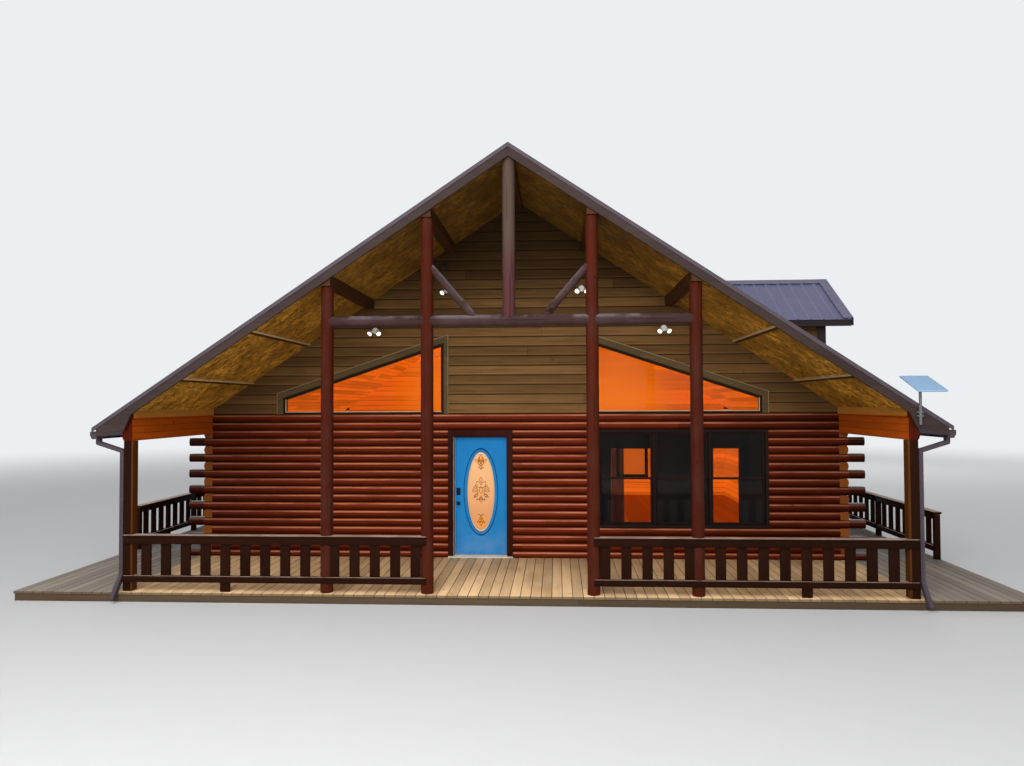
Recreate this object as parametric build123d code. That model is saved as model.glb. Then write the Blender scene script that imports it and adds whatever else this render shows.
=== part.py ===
from build123d import *
from math import atan2, ceil, cos, degrees, radians, sin
import os

# Log cabin with a gabled front porch, in millimetres, +Z up.
# X runs to the right as you face the door, Y runs from the porch to the back.
# The origin is on the ground at the centre of the whole footprint.

os.makedirs("parts", exist_ok=True)

# House body
house_width = 11100
house_depth = 9140
log_height = 139
courses_over_openings = 2
log_thickness = 150
log_groove = 26
front_wall_tail = 270
deck_top = 140
log_base_drop = 29
floor_rise = 30
seat_gap = 0.3

# Porch
porch_depth = 2510
porch_front_overhang = 150
inner_post_x = 1161
outer_post_x = 2591
corner_post_inset = 95
round_post_diameter = 180
corner_post_size = 140
tie_beam_diameter = 165
tie_beam_drop = 2477
brace_diameter = 110
brace_foot_x = 450
brace_head_drop = 1655
header_width = 150
header_low_drop = 341
header_high_drop = 23
header_band = 20
header_band_lap = 10
purlin_width = 140
purlin_depth = 110

# Roof, whose slope is a rise of 8 in 12
roof_rise = 8
roof_run = 12
wall_top_shave = 4
rake_trim_cover = 8
rib_height = 19
rib_pitch = 229
rib_foot = 60
rib_crest = 25
sheet_thickness = 3
roof_underside_drop = 121
soffit_panel = 12
soffit_batten_width = 70
soffit_batten_depth = 16
soffit_sheet = 1219
soffit_first_batten = 700
slab_overhang = 310
sheet_overhang = 400
back_overhang = 400
fascia_thickness = 38
fascia_drop = 190
rake_trim_drop = 62
rake_trim_thickness = 12
rake_trim_flange = 70
return_inner_inset = 165
return_low_inset = 70
return_low_drop = 173
return_tip_drop = 283
return_step = 5
eave_fascia_thickness = 30
ridge_cap_leg = 150
ridge_cap_thickness = 5
joint_gap = 2

# Rainwater goods
gutter_width = 110
gutter_depth = 108
gutter_wall = 3
gutter_top_drop = 205
downspout_width = 72
downspout_depth = 56
downspout_offset = 118
downspout_outlet_drop = 60
downspout_bend_drop = 488
downspout_kick_height = 225
downspout_kick_reach = 250

# Front doorway, measured from the middle of the door
door_x = -663
door_width = 914
door_height = 2032
door_thickness = 44
door_gap = 8
door_hinge_gap = 6
door_sill_gap = 6
door_casing = 95
door_head_casing_least = 100
casing_proud = 25
door_leaf_inset = 2
door_stop = 12
door_stop_depth = 40
door_stile = 167
door_top_rail = 213
door_bottom_rail = 342
door_glass_ring = 51
door_glass_ring_proud = 8
door_glass_thickness = 20
door_lock_backset = 67
door_knob_height = 881
door_deadbolt_height = 1086
door_rose_diameter = 65
door_rose_depth = 8
door_knob_neck = 22
door_knob_diameter = 54
door_knob_reach = 52
door_deadbolt_width = 66
door_deadbolt_case_height = 120
door_deadbolt_depth = 22
hinge_height = 102
hinge_places = [230, 1016, 1830]
hinge_plate = 2.5
hinge_plate_depth = 36
hinge_knuckle_diameter = 11
hinge_pin_diameter = 6
hinge_pin_out = 8
hinge_running_gap = 0.5

# Front window of three sashes side by side
front_window_width = 2882
front_window_end_margin = 1325
window_sill_height = 556
front_window_units = 3
window_casing = 50
window_mullion = 46
sash_width = 35
sash_depth = 35
sash_setback = 30
glass_thickness = 6

# Sash windows on the sides, the back and the dormer
side_window_width = 900
side_window_places = [2600, 6500]
back_window_places = [-2800, 2800]
back_gable_window_rise = 227
back_gable_window_height = 1200

# Gable walls with lap siding, and the two sloping-topped gable windows
gable_setback = 22
gable_thickness = 120
siding_board = 166
siding_lap = 14
gable_glass_inner_x = 1335
gable_glass_end_margin = 1450
gable_glass_rise = 32
gable_glass_outer_height = 228
gable_glass_slope = 1 / 3
gable_casing_inner = 105
gable_casing_outer = 140
gable_casing_top = 150
gable_casing_proud = 20

# Dormer on the right slope
dormer_ridge_y = 2195
dormer_ridge_rise = 2604
dormer_half_width = 1095
dormer_side_overhang = 225
dormer_end_overhang = 400
dormer_wall = 100
dormer_roof_thickness = 90
dormer_window_rise = 460
dormer_window_head_drop = 947
dormer_fascia_drop = 140
dormer_eave_board_drop = 179
dormer_sheet_lip = 20
dormer_last_rib = 35
dormer_trim_flange = 150
dormer_sheet_margin = 30
corner_board_width = 115
corner_board_thickness = 25

# Decks and railings
deck_front_margin = 130
side_deck_width = 1550
deck_board = 38
deck_joist_width = 38
deck_joist_pitch = 610
side_deck_depth = 4900
rail_height = 800
rail_cap_width = 140
rail_cap_thickness = 38
rail_bar_height = 89
rail_bar_thickness = 38
rail_bottom = 135
baluster_width = 140
baluster_thickness = 38
outer_bay_balusters = 9
outer_bay_first = 224
inner_bay_balusters = 5
inner_bay_first = 87
baluster_pitch = 288
rail_forward = 45
rail_end_margin = 15
side_rail_inset = 70
side_rail_balusters = 7
newel_size = 89
left_newel_start = 500
right_newel_start = 100

# Fittings, each placed across the house and by its drop from the roof's top line
floodlight_spots = [(-2500, 696), (-1230, 843), (1100, 930), (2500, 696)]
floodlight_plate = 110
floodlight_plate_depth = 30
floodlight_head = 90
floodlight_neck = 24
fitting_sides = 12
floodlight_neck_start = (30, 25, 0)
floodlight_neck_end = (55, 60, 20)
floodlight_head_end = (90, 120, 75)
camera_spot = (-1290, 410)
camera_diameter = 120
camera_depth = 50
camera_dome = 100
dish_inset = 10
dish_rise = 267
dish_width = 383
dish_length = 594
dish_thickness = 30
dish_tilt = 21
dish_mast_inset = 50
dish_mast_diameter = 38
dish_mast_foot_drop = 283
dish_standoff = 40
dish_clamp_width = 70
dish_clamp_height = 28
dish_clamp_rises = [25, 75]
dish_clamp_front = 12

# Values worked out from those above
half_width = house_width / 2
inner_half = half_width - log_thickness
log_base = deck_top - log_base_drop
floor_top = deck_top + floor_rise
leaf_bottom = floor_top + door_sill_gap
leaf_top = leaf_bottom + door_height
head_course = ceil((leaf_top + door_gap + door_head_casing_least - log_base) / log_height)
sill_course = round(window_sill_height / log_height)
log_courses = head_course + courses_over_openings
opening_top = log_base + head_course * log_height
window_bottom = log_base + sill_course * log_height
wall_top = log_base + log_courses * log_height
slope = roof_rise / roof_run
slope_angle = degrees(atan2(roof_rise, roof_run))
ridge_top = wall_top + slope * half_width + roof_underside_drop - wall_top_shave
tie_beam_z = ridge_top - tie_beam_drop
header_inner_x = half_width - header_width
header_low = wall_top - header_low_drop
header_high = wall_top - header_high_drop
corner_post_x = half_width - corner_post_inset
slab_eave_x = half_width + slab_overhang
sheet_eave_x = half_width + sheet_overhang
eave_fascia_x = slab_eave_x + eave_fascia_thickness
return_low = wall_top - return_low_drop
return_tip = wall_top - return_tip_drop
gutter_top = wall_top - gutter_top_drop
downspout_x = corner_post_x + downspout_offset
front_window_right = half_width - front_window_end_margin
front_window_left = front_window_right - front_window_width
door_ring_width = door_width - 2 * door_stile
door_ring_height = door_height - door_top_rail - door_bottom_rail
door_ring_middle = leaf_bottom + door_bottom_rail + door_ring_height / 2
gable_glass_outer_x = half_width - gable_glass_end_margin
gable_glass_bottom = wall_top + gable_glass_rise
gable_glass_top = (gable_glass_bottom + gable_glass_outer_height
                   + gable_glass_slope * (gable_glass_outer_x - gable_glass_inner_x))
back_gable_window_low = wall_top + back_gable_window_rise
back_gable_window_high = back_gable_window_low + back_gable_window_height
dormer_top = wall_top + dormer_ridge_rise
dormer_end = half_width + dormer_end_overhang
dormer_eave = dormer_half_width + dormer_side_overhang
dormer_sheet_reach = dormer_eave + eave_fascia_thickness + dormer_sheet_lip
dormer_window_low = ridge_top - slope * half_width + dormer_window_rise
dormer_window_high = dormer_top - dormer_window_head_drop
deck_half_width = half_width + side_deck_width
dish_x = half_width - dish_inset
dish_mast_x = half_width - dish_mast_inset
dish_reach = dish_length / 2 * cos(radians(dish_tilt)) + dish_thickness / 2 * sin(radians(dish_tilt))
front_reach = porch_depth + porch_front_overhang + rake_trim_thickness + dish_standoff + dish_reach
back_reach = back_overhang + fascia_thickness + rake_trim_thickness
wall_y = front_reach - (front_reach + house_depth + back_reach) / 2
back_y = wall_y + house_depth
post_y = wall_y - porch_depth
rake_y = post_y - porch_front_overhang
roof_front_y = rake_y + fascia_thickness
roof_back_y = back_y + back_overhang
gable_y = wall_y + gable_setback
door_left = door_x - door_width / 2 - door_gap - door_casing
door_right = door_x + door_width / 2 + door_hinge_gap + door_casing
far = 20000


def course_z(course):
    """Height of the underside of one log course, counted from 0 at the bottom."""
    return log_base + course * log_height


def roof_z(x, drop=0.0):
    """Height of the roof's top line above a place across the house, less a drop."""
    return ridge_top - slope * abs(x) - drop


def box(x0, x1, y0, y1, z0, z1):
    """A box between two opposite corners."""
    return Pos((x0 + x1) / 2, (y0 + y1) / 2, (z0 + z1) / 2) * Box(x1 - x0, y1 - y0, z1 - z0)


def prism_along_y(points, y0, y1):
    """A closed outline in X and Z, drawn out from y0 to y1."""
    face = make_face(Polyline(*points, close=True))
    return extrude(Plane((0, y1, 0), x_dir=(1, 0, 0), z_dir=(0, -1, 0)) * face, y1 - y0)


def prism_along_x(points, x0, x1):
    """A closed outline in Y and Z, drawn out from x0 to x1."""
    face = make_face(Polyline(*points, close=True))
    return extrude(Plane((x0, 0, 0), x_dir=(0, 1, 0), z_dir=(1, 0, 0)) * face, x1 - x0)


def rod(start, end, diameter):
    """A round bar between two points."""
    direction = Vector(*end) - Vector(*start)
    plane = Plane(origin=start, z_dir=direction)
    return extrude(plane * Circle(diameter / 2), direction.length)


def bar(start, end, diameter, sides):
    """A straight many-sided bar between two points."""
    direction = Vector(*end) - Vector(*start)
    plane = Plane(origin=start, z_dir=direction)
    return extrude(plane * RegularPolygon(diameter / 2, sides), direction.length)


def many_sided(rings, sides):
    """A turned shape along +Z with flat sides, through rings given as radius and height."""
    shape = None
    for (radius, height), (next_radius, next_height) in zip(rings, rings[1:]):
        first = Pos(0, 0, height) * RegularPolygon(radius, sides)
        second = Pos(0, 0, next_height) * RegularPolygon(next_radius, sides)
        piece = loft([first, second], ruled=True)
        shape = piece if shape is None else shape + piece
    return shape


def knob_shape(reach, diameter, neck):
    """A round door knob along +Z: a rose, a neck that widens, and a flattened ball."""
    ball = diameter / 2
    rose = extrude(RegularPolygon(door_rose_diameter / 2, 2 * fitting_sides), door_rose_depth)
    return rose + many_sided([
        (neck / 2, 0),
        (neck / 2, reach - ball),
        (ball * 0.7, reach - ball * 0.7),
        (ball, reach - ball * 0.2),
        (ball, reach + ball * 0.3),
        (ball * 0.7, reach + ball * 0.75),
    ], fitting_sides)


def dome_shape(depth, diameter, dome):
    """A round camera along +Z: a flat base and a dome."""
    ball = dome / 2
    base = extrude(RegularPolygon(diameter / 2, 2 * fitting_sides), depth)
    return base + many_sided([
        (ball, depth / 2),
        (ball, depth),
        (ball * 0.87, depth + ball * 0.5),
        (ball * 0.5, depth + ball * 0.87),
        (ball * 0.2, depth + ball),
    ], 2 * fitting_sides)


def mirrored(shape):
    """The same shape on the other side of the ridge line."""
    return mirror(shape, about=Plane.YZ)


def save(name, *shapes):
    """Write one node, made of solids that stand apart from each other."""
    solids = []
    for shape in shapes:
        solids += shape.solids()
    export_step(Compound(children=solids) if len(solids) > 1 else solids[0], f"parts/{name}.step")


# Log walls, drawn along X with the round outer faces at y = 0 and the room behind them

def log_outline(first, last):
    """End view of the courses from first up to last: flat inside, a round face on each log."""
    low = course_z(first)
    high = course_z(last)
    edges = [
        Line((log_thickness, low), (log_thickness, high)),
        Line((log_thickness, high), (log_groove, high)),
    ]
    for course in reversed(range(first, last)):
        middle = course_z(course) + log_height / 2
        top = (log_groove, course_z(course + 1))
        bottom = (log_groove, course_z(course))
        edges.append(ThreePointArc(top, (0, middle), bottom))
    edges.append(Line((log_groove, low), (log_thickness, low)))
    return make_face(Wire(edges))


def log_run(x0, x1, first, last):
    """A stack of logs from x0 to x1."""
    plane = Plane((x0, 0, 0), x_dir=(0, 1, 0), z_dir=(1, 0, 0))
    return extrude(plane * log_outline(first, last), x1 - x0)


def log_wall(x0, x1, first, last, odd_tails, left_tail=0.0, right_tail=0.0):
    """A wall of logs whose every second course runs on past the corner as a tail."""
    wall = log_run(x0, x1, first, last)
    for course in range(first, last):
        if course % 2 == odd_tails:
            if left_tail:
                wall += log_run(x0 - left_tail, x0, course, course + 1)
            if right_tail:
                wall += log_run(x1, x1 + right_tail, course, course + 1)
    return wall


def front_walls():
    """The front wall, split beside and over the doorway and the wide window."""
    at_front = Pos(0, wall_y, 0)
    tail = log_thickness + front_wall_tail
    head = head_course
    sill = sill_course
    left = log_wall(-inner_half, door_left, 0, head, 0, left_tail=tail)
    middle = log_wall(door_right, front_window_left, 0, head, 0)
    under = log_wall(front_window_left, front_window_right, 0, sill, 0)
    right = log_wall(front_window_right, inner_half, 0, head, 0, right_tail=tail)
    over = log_wall(-inner_half, inner_half, head, log_courses, 0, log_thickness, log_thickness)
    save("front_wall_left", at_front * left)
    save("front_wall_middle", at_front * middle)
    save("front_wall_under_window", at_front * under)
    save("front_wall_right", at_front * right)
    save("front_wall_over_openings", at_front * over)


def window_hole(middle, width, low, high):
    """What a window takes out of a wall drawn along X."""
    return box(middle - width / 2, middle + width / 2, -far, far, low, high)


def side_wall():
    """The left wall, drawn where it stands, every second log running out to the corner."""
    length = house_depth - 2 * log_thickness
    wall = log_wall(0, length, 0, log_courses, 1, log_thickness, log_thickness)
    for place in side_window_places:
        wall -= window_hole(length - (place - log_thickness), side_window_width, window_bottom, opening_top)
    turned = Pos(-half_width, back_y - log_thickness, 0) * Rot(0, 0, -90) * wall
    under_roof = roof_prism(roof_underside_drop + seat_gap, far)
    header_pocket = box(-half_width - 1, -inner_half + 1, wall_y - far, wall_y,
                        header_low - seat_gap, wall_top + far)
    return (turned - under_roof) - header_pocket


def roof_prism(drop_low, height):
    """Everything from the roof's top line less a drop, up by a height, over the whole house."""
    reach = house_width
    points = [
        (0, roof_z(0, drop_low)),
        (reach, roof_z(reach, drop_low)),
        (reach, roof_z(0, drop_low) + height),
        (-reach, roof_z(0, drop_low) + height),
        (-reach, roof_z(reach, drop_low)),
    ]
    return prism_along_y(points, -far, far)


def side_and_back_walls():
    """The two side walls and the back wall."""
    left = side_wall()
    save("left_wall", left)
    save("right_wall", mirrored(left))
    tail = log_thickness + front_wall_tail
    head = head_course
    back = log_wall(-inner_half, inner_half, 0, head, 0, tail, tail)
    back += log_wall(-inner_half, inner_half, head, log_courses, 0, log_thickness, log_thickness)
    for place in back_window_places:
        back -= window_hole(place, side_window_width, window_bottom, opening_top)
    save("back_wall", Pos(0, back_y, 0) * Rot(0, 0, 180) * back)


# Gable walls, with lap siding on their outer faces

def siding_slab(x0, x1, z0, z1, thickness):
    """A wall drawn along X with tapered boards lapped on its outer face at y = 0."""
    points = [(thickness, z1), (thickness, z0)]
    low = z0
    while low < z1:
        high = min(low + siding_board, z1)
        points.append((0, low))
        points.append((siding_lap * (high - low) / siding_board, high))
        low = high
    return prism_along_x(points, x0, x1)


def gable_outline(x0, x1, floor):
    """The part of a gable between two places across the house, up to the roof."""
    drop = roof_underside_drop + seat_gap
    points = [(x0, floor), (x1, floor)]
    for x in (x1, 0, x0):
        if x0 <= x <= x1 and roof_z(x, drop) > floor + 1:
            points.append((x, roof_z(x, drop)))
    unique = []
    for point in points:
        if point not in unique:
            unique.append(point)
    return prism_along_y(unique, -far, far)


def gable_window_outline(grow_inner, grow_outer, grow_top, low):
    """Outline of the right gable window, grown past its glass on each side."""
    inner = gable_glass_inner_x - grow_inner
    outer = gable_glass_outer_x + grow_outer
    high = gable_glass_top + grow_top
    inner_top = high + gable_glass_slope * grow_inner
    outer_top = high - gable_glass_slope * (outer - gable_glass_inner_x)
    return [(inner, low), (outer, low), (outer, outer_top), (inner, inner_top)]


def gable_reach(floor):
    """How far from the ridge line the roof's underside comes down to a floor level."""
    return (roof_z(0, roof_underside_drop + seat_gap) - floor) / slope


def gables():
    """The front gable with its two window holes, and the back gable."""
    reach = gable_reach(wall_top)
    siding = Pos(0, gable_y, 0) * siding_slab(-reach, reach, wall_top, ridge_top, gable_thickness)
    outline = gable_window_outline(gable_casing_inner, gable_casing_outer, gable_casing_top, wall_top - 1)
    hole = prism_along_y(outline, -far, far)
    front = siding & gable_outline(-reach, reach, wall_top)
    save("front_gable", front - hole - mirrored(hole))
    whole = siding_slab(-reach, reach, wall_top, ridge_top, gable_thickness)
    back = Pos(0, back_y - gable_setback, 0) * Rot(0, 0, 180) * whole
    back &= gable_outline(-reach, reach, wall_top)
    back -= window_hole(0, side_window_width, back_gable_window_low, back_gable_window_high)
    save("back_gable", back)


# Windows, drawn along X with the wall's outer face at y = 0

def ring(x0, x1, z0, z1, width, y0, y1):
    """A rectangular frame of one width."""
    outer = box(x0, x1, y0, y1, z0, z1)
    return outer - box(x0 + width, x1 - width, y0 - 1, y1 + 1, z0 + width, z1 - width)


def sash_window(x0, x1, z0, z1, units, depth):
    """A frame of double-hung sashes side by side, and the panes that fill it."""
    frame = ring(x0, x1, z0, z1, window_casing, -casing_proud, depth)
    inside_width = x1 - x0 - 2 * window_casing
    unit = (inside_width - (units - 1) * window_mullion) / units
    low = z0 + window_casing
    high = z1 - window_casing
    meeting = (low + high) / 2
    panes = []
    for index in range(units):
        left = x0 + window_casing + index * (unit + window_mullion)
        right = left + unit
        if index < units - 1:
            frame += box(right, right + window_mullion, -casing_proud / 2, depth, low, high)
        upper = (meeting - sash_width / 2, high, sash_setback)
        lower = (low, meeting + sash_width / 2, sash_setback + sash_depth)
        for bottom, top, front in (upper, lower):
            frame += ring(left, right, bottom, top, sash_width, front, front + sash_depth)
            edge = sash_width + seat_gap
            pane_y = front + (sash_depth - glass_thickness) / 2
            panes.append(box(left + edge, right - edge, pane_y, pane_y + glass_thickness,
                             bottom + edge, top - edge))
    return frame, panes


def placed(location, made):
    """A window and its panes, moved to their wall."""
    frame, panes = made
    return location * frame, [location * pane for pane in panes]


def windows():
    """The wide front window, the plain sash windows of the other sides, and all the panes."""
    front, front_panes = placed(Pos(0, wall_y, 0), sash_window(
        front_window_left + seat_gap, front_window_right - seat_gap, window_bottom + seat_gap,
        opening_top - seat_gap, front_window_units, log_thickness))
    save("front_window", front)
    half = side_window_width / 2 - seat_gap
    frames = []
    panes = []
    made = sash_window(-half, half, window_bottom + seat_gap, opening_top - seat_gap, 1, log_thickness)
    for place in side_window_places:
        for side in (-1, 1):
            where = Pos(side * half_width, wall_y + place, 0) * Rot(0, 0, side * 90)
            frame, glass = placed(where, made)
            frames.append(frame)
            panes += glass
    for place in back_window_places:
        frame, glass = placed(Pos(place, back_y, 0) * Rot(0, 0, 180), made)
        frames.append(frame)
        panes += glass
    loft = sash_window(-half, half, back_gable_window_low + seat_gap,
                       back_gable_window_high - seat_gap, 1, gable_thickness)
    frame, glass = placed(Pos(0, back_y - gable_setback, 0) * Rot(0, 0, 180), loft)
    frames.append(frame)
    panes += glass
    dormer = sash_window(-half, half, dormer_window_low + seat_gap,
                         dormer_window_high - seat_gap, 1, dormer_wall)
    frame, glass = placed(Pos(half_width, wall_y + dormer_ridge_y, 0) * Rot(0, 0, 90), dormer)
    frames.append(frame)
    panes += glass
    save("side_windows", *frames)
    save("window_glass", *front_panes, *panes, *gable_windows())


def gable_windows():
    """Casings of the two sloping-topped windows in the front gable. Gives back their glass."""
    low = wall_top + seat_gap
    outer = gable_window_outline(gable_casing_inner - seat_gap, gable_casing_outer - seat_gap,
                                 gable_casing_top - seat_gap, low)
    front = gable_y - gable_casing_proud
    back = gable_y + gable_thickness
    casing = prism_along_y(outer, front, back)
    casing -= prism_along_y(gable_window_outline(0, 0, 0, gable_glass_bottom), -far, far)
    middle = (front + back) / 2
    pane = gable_window_outline(-seat_gap, -seat_gap, -seat_gap, gable_glass_bottom + seat_gap)
    glass = prism_along_y(pane, middle - glass_thickness / 2, middle + glass_thickness / 2)
    save("gable_windows", casing, mirrored(casing))
    return glass, mirrored(glass)


# The front door

def doorway_frame():
    """Casing, stops and sill of the front doorway, filling the wall's full depth."""
    low = log_base + seat_gap
    high = opening_top - seat_gap
    front = wall_y - casing_proud
    back = wall_y + log_thickness
    frame = box(door_left + seat_gap, door_right - seat_gap, front, back, low, high)
    leaf_left = door_x - door_width / 2
    leaf_right = door_x + door_width / 2
    frame -= box(leaf_left - door_gap, leaf_right + door_hinge_gap, front - 1, back + 1,
                 floor_top, leaf_top + door_gap)
    stop_back = back - door_leaf_inset - door_thickness - door_hinge_gap
    stop_front = stop_back - door_stop_depth
    stop = box(leaf_left - door_gap, leaf_right + door_hinge_gap, stop_front, stop_back,
               floor_top, leaf_top + door_gap)
    stop -= box(leaf_left - door_gap + door_stop, leaf_right + door_hinge_gap - door_stop,
                stop_front - 1, stop_back + 1, floor_top - 1, leaf_top + door_gap - door_stop)
    frame += stop
    return frame - box(-far, far, wall_y - far, wall_y, -far, deck_top + seat_gap)


def oval_prism(width, height, y0, y1):
    """An upright oval seen from the front, drawn out from y0 to y1."""
    plane = Plane((door_x, y1, door_ring_middle), x_dir=(1, 0, 0), z_dir=(0, -1, 0))
    return extrude(plane * Ellipse(width / 2, height / 2), y1 - y0)


def front_door():
    """The leaf with its oval light, the glass in it, and the lock set."""
    back = wall_y + log_thickness - door_leaf_inset
    front = back - door_thickness
    left = door_x - door_width / 2
    leaf = box(left, left + door_width, front, back, leaf_bottom, leaf_top)
    glass_width = door_ring_width - 2 * door_glass_ring
    glass_height = door_ring_height - 2 * door_glass_ring
    proud = door_glass_ring_proud
    leaf += oval_prism(door_ring_width, door_ring_height, front - proud, back + proud)
    leaf -= oval_prism(glass_width, glass_height, front - far, back + far)
    middle = (front + back) / 2
    glass = oval_prism(glass_width - 2 * seat_gap, glass_height - 2 * seat_gap,
                       middle - door_glass_thickness / 2, middle + door_glass_thickness / 2)
    save("door", leaf)
    save("door_glass", glass)
    lock_x = left + door_lock_backset
    lock = []
    for face, out in ((front, -1), (back, 1)):
        knob_z = leaf_bottom + door_knob_height
        knob = knob_shape(door_knob_reach, door_knob_diameter, door_knob_neck)
        bolt_z = leaf_bottom + door_deadbolt_height
        case = Pos(lock_x, face + out * door_deadbolt_depth / 2, bolt_z) * Box(
            door_deadbolt_width, door_deadbolt_depth, door_deadbolt_case_height)
        lock.append(Pos(lock_x, face, knob_z) * Rot(-90 * out, 0, 0) * knob)
        lock.append(case)
    save("door_lock", *lock)


def door_hinges():
    """Three butt hinges: a plate and pin on the frame, a plate and middle knuckle on the leaf."""
    back = wall_y + log_thickness - door_leaf_inset
    leaf_edge = door_x + door_width / 2
    jamb = leaf_edge + door_hinge_gap
    pin_x = (leaf_edge + jamb) / 2
    pin_y = back + hinge_pin_out
    third = hinge_height / 3
    fixed = []
    moving = []
    for place in hinge_places:
        low = leaf_bottom + place - hinge_height / 2
        high = low + hinge_height
        middle = (low + third, high - third)
        pin = bar((pin_x, pin_y, low), (pin_x, pin_y, high), hinge_pin_diameter, fitting_sides)
        fixed_half = box(jamb - hinge_plate, jamb, back - hinge_plate_depth, pin_y, low, high)
        fixed_half += bar((pin_x, pin_y, low), (pin_x, pin_y, high), hinge_knuckle_diameter, fitting_sides)
        fixed_half -= box(pin_x - far, pin_x + far, back, back + far,
                          middle[0] - hinge_running_gap, middle[1] + hinge_running_gap)
        fixed.append(fixed_half + pin)
        moving_half = box(leaf_edge, leaf_edge + hinge_plate, back - hinge_plate_depth, back, low, high)
        moving_half += box(leaf_edge, leaf_edge + hinge_plate, back, pin_y, *middle)
        moving_half += bar((pin_x, pin_y, middle[0]), (pin_x, pin_y, middle[1]), hinge_knuckle_diameter,
                           fitting_sides)
        bore = hinge_pin_diameter + 2 * seat_gap
        moving.append(moving_half - bar((pin_x, pin_y, low), (pin_x, pin_y, high), bore, fitting_sides))
    save("frame_hinges", *fixed)
    save("door_hinges", *moving)


def doorway():
    """The doorway's frame and everything hung in it."""
    save("door_frame", doorway_frame())
    front_door()
    door_hinges()


# Roof

def rib_outline(y0, y1):
    """End view of the ribbed metal sheet, across the ribs, with its flat face at height 0."""
    points = [(y0, -sheet_thickness), (y0, 0)]
    middle = y0 + rib_pitch / 2
    while middle + rib_foot / 2 < y1:
        points.append((middle - rib_foot / 2, 0))
        points.append((middle - rib_crest / 2, rib_height))
        points.append((middle + rib_crest / 2, rib_height))
        points.append((middle + rib_foot / 2, 0))
        middle += rib_pitch
    points += [(y1, 0), (y1, -sheet_thickness)]
    return make_face(Polyline(*points, close=True))


def sheet_drop():
    """Drop from the roof's top line to the flat of the metal sheet."""
    return rake_trim_cover + rib_height / cos(radians(slope_angle))


def ribbed_sheet():
    """Ribbed metal over the right slope, from the ridge to past the gutter's inner edge."""
    length = sheet_eave_x / cos(radians(slope_angle))
    down = (cos(radians(slope_angle)), 0, -sin(radians(slope_angle)))
    top = roof_z(0, sheet_drop())
    plane = Plane((0, 0, top), x_dir=(0, 1, 0), z_dir=down)
    sheet = extrude(plane * rib_outline(roof_front_y, roof_back_y), length)
    return sheet & box(0, far, -far, far, -far, far)


def slab_outline(low_drop, high_drop):
    """Outline of the right slope's structure, with its closed-in eave."""
    wall_line = half_width + seat_gap
    return [
        (0, roof_z(0, high_drop)),
        (0, roof_z(0, low_drop)),
        (wall_line, roof_z(wall_line, low_drop)),
        (wall_line, return_low),
        (slab_eave_x, return_tip + return_step),
        (slab_eave_x, roof_z(slab_eave_x, high_drop)),
    ]


def roof_slope():
    """The right slope: rafters and boarding as one slab, closed eave, metal sheet on top."""
    thickness = sheet_thickness / cos(radians(slope_angle))
    outline = slab_outline(roof_underside_drop, sheet_drop() + thickness)
    slab = prism_along_y(outline, roof_front_y, roof_back_y)
    return slab, ribbed_sheet()


def roof():
    """Both slopes. The dormer's well is cut through the right one."""
    slab, sheet = roof_slope()
    save("roof_left", mirrored(slab + sheet))
    well_y = (wall_y + dormer_ridge_y - dormer_half_width, wall_y + dormer_ridge_y + dormer_half_width)
    sheet_x = dormer_valley_x(dormer_half_width) - dormer_sheet_margin
    sheet -= box(sheet_x, half_width, well_y[0], well_y[1], 0, far)
    slab -= box(dormer_valley_x(dormer_half_width) + dormer_wall, half_width - dormer_wall,
                well_y[0] + dormer_wall, well_y[1] - dormer_wall, 0, far)
    save("roof_right", slab + sheet)


def ridge_cap():
    """A bent metal strip along the ridge, on the ribs."""
    low = rake_trim_cover - seat_gap
    high = low - ridge_cap_thickness
    points = [
        (0, roof_z(0, high)),
        (ridge_cap_leg, roof_z(ridge_cap_leg, high)),
        (ridge_cap_leg, roof_z(ridge_cap_leg, low)),
        (0, roof_z(0, low)),
        (-ridge_cap_leg, roof_z(ridge_cap_leg, low)),
        (-ridge_cap_leg, roof_z(ridge_cap_leg, high)),
    ]
    inset = rake_trim_flange
    return prism_along_y(points, roof_front_y + inset, roof_back_y - inset)


def rake_board():
    """The right half of the front rake board, with its widened end that closes the eave."""
    top = rake_trim_cover + seat_gap + ridge_cap_thickness
    return_inner_x = half_width - return_inner_inset
    points = [
        (joint_gap / 2, roof_z(joint_gap / 2, top)),
        (joint_gap / 2, roof_z(joint_gap / 2, fascia_drop)),
        (return_inner_x, roof_z(return_inner_x, fascia_drop)),
        (half_width - return_low_inset, return_low),
        (eave_fascia_x, return_tip),
        (eave_fascia_x, roof_z(eave_fascia_x, top)),
    ]
    return prism_along_y(points, rake_y, roof_front_y)


def rake_trim():
    """The right half of the front rake's metal trim: a face over the board and a flange on the ribs."""
    tip = sheet_eave_x
    near = joint_gap / 2
    face = [
        (near, roof_z(near)),
        (near, roof_z(near, rake_trim_drop)),
        (tip, roof_z(tip, rake_trim_drop)),
        (tip, roof_z(tip)),
    ]
    cover = rake_trim_cover - seat_gap
    flange = [
        (near, roof_z(near)),
        (near, roof_z(near, cover)),
        (tip, roof_z(tip, cover)),
        (tip, roof_z(tip)),
    ]
    front = rake_y - rake_trim_thickness
    return prism_along_y(face, front, rake_y) + prism_along_y(flange, front, rake_y + rake_trim_flange)


def at_back(shape):
    """The same piece on the back gable."""
    centre = (roof_front_y + roof_back_y) / 2
    return mirror(shape, about=Plane((0, centre, 0), z_dir=(0, 1, 0)))


def eave_board():
    """The right eave's board, behind the gutter."""
    top = roof_z(eave_fascia_x, sheet_drop() + 2 * sheet_thickness)
    return box(slab_eave_x, eave_fascia_x, roof_front_y + seat_gap, roof_back_y - seat_gap, return_tip, top)


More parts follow.
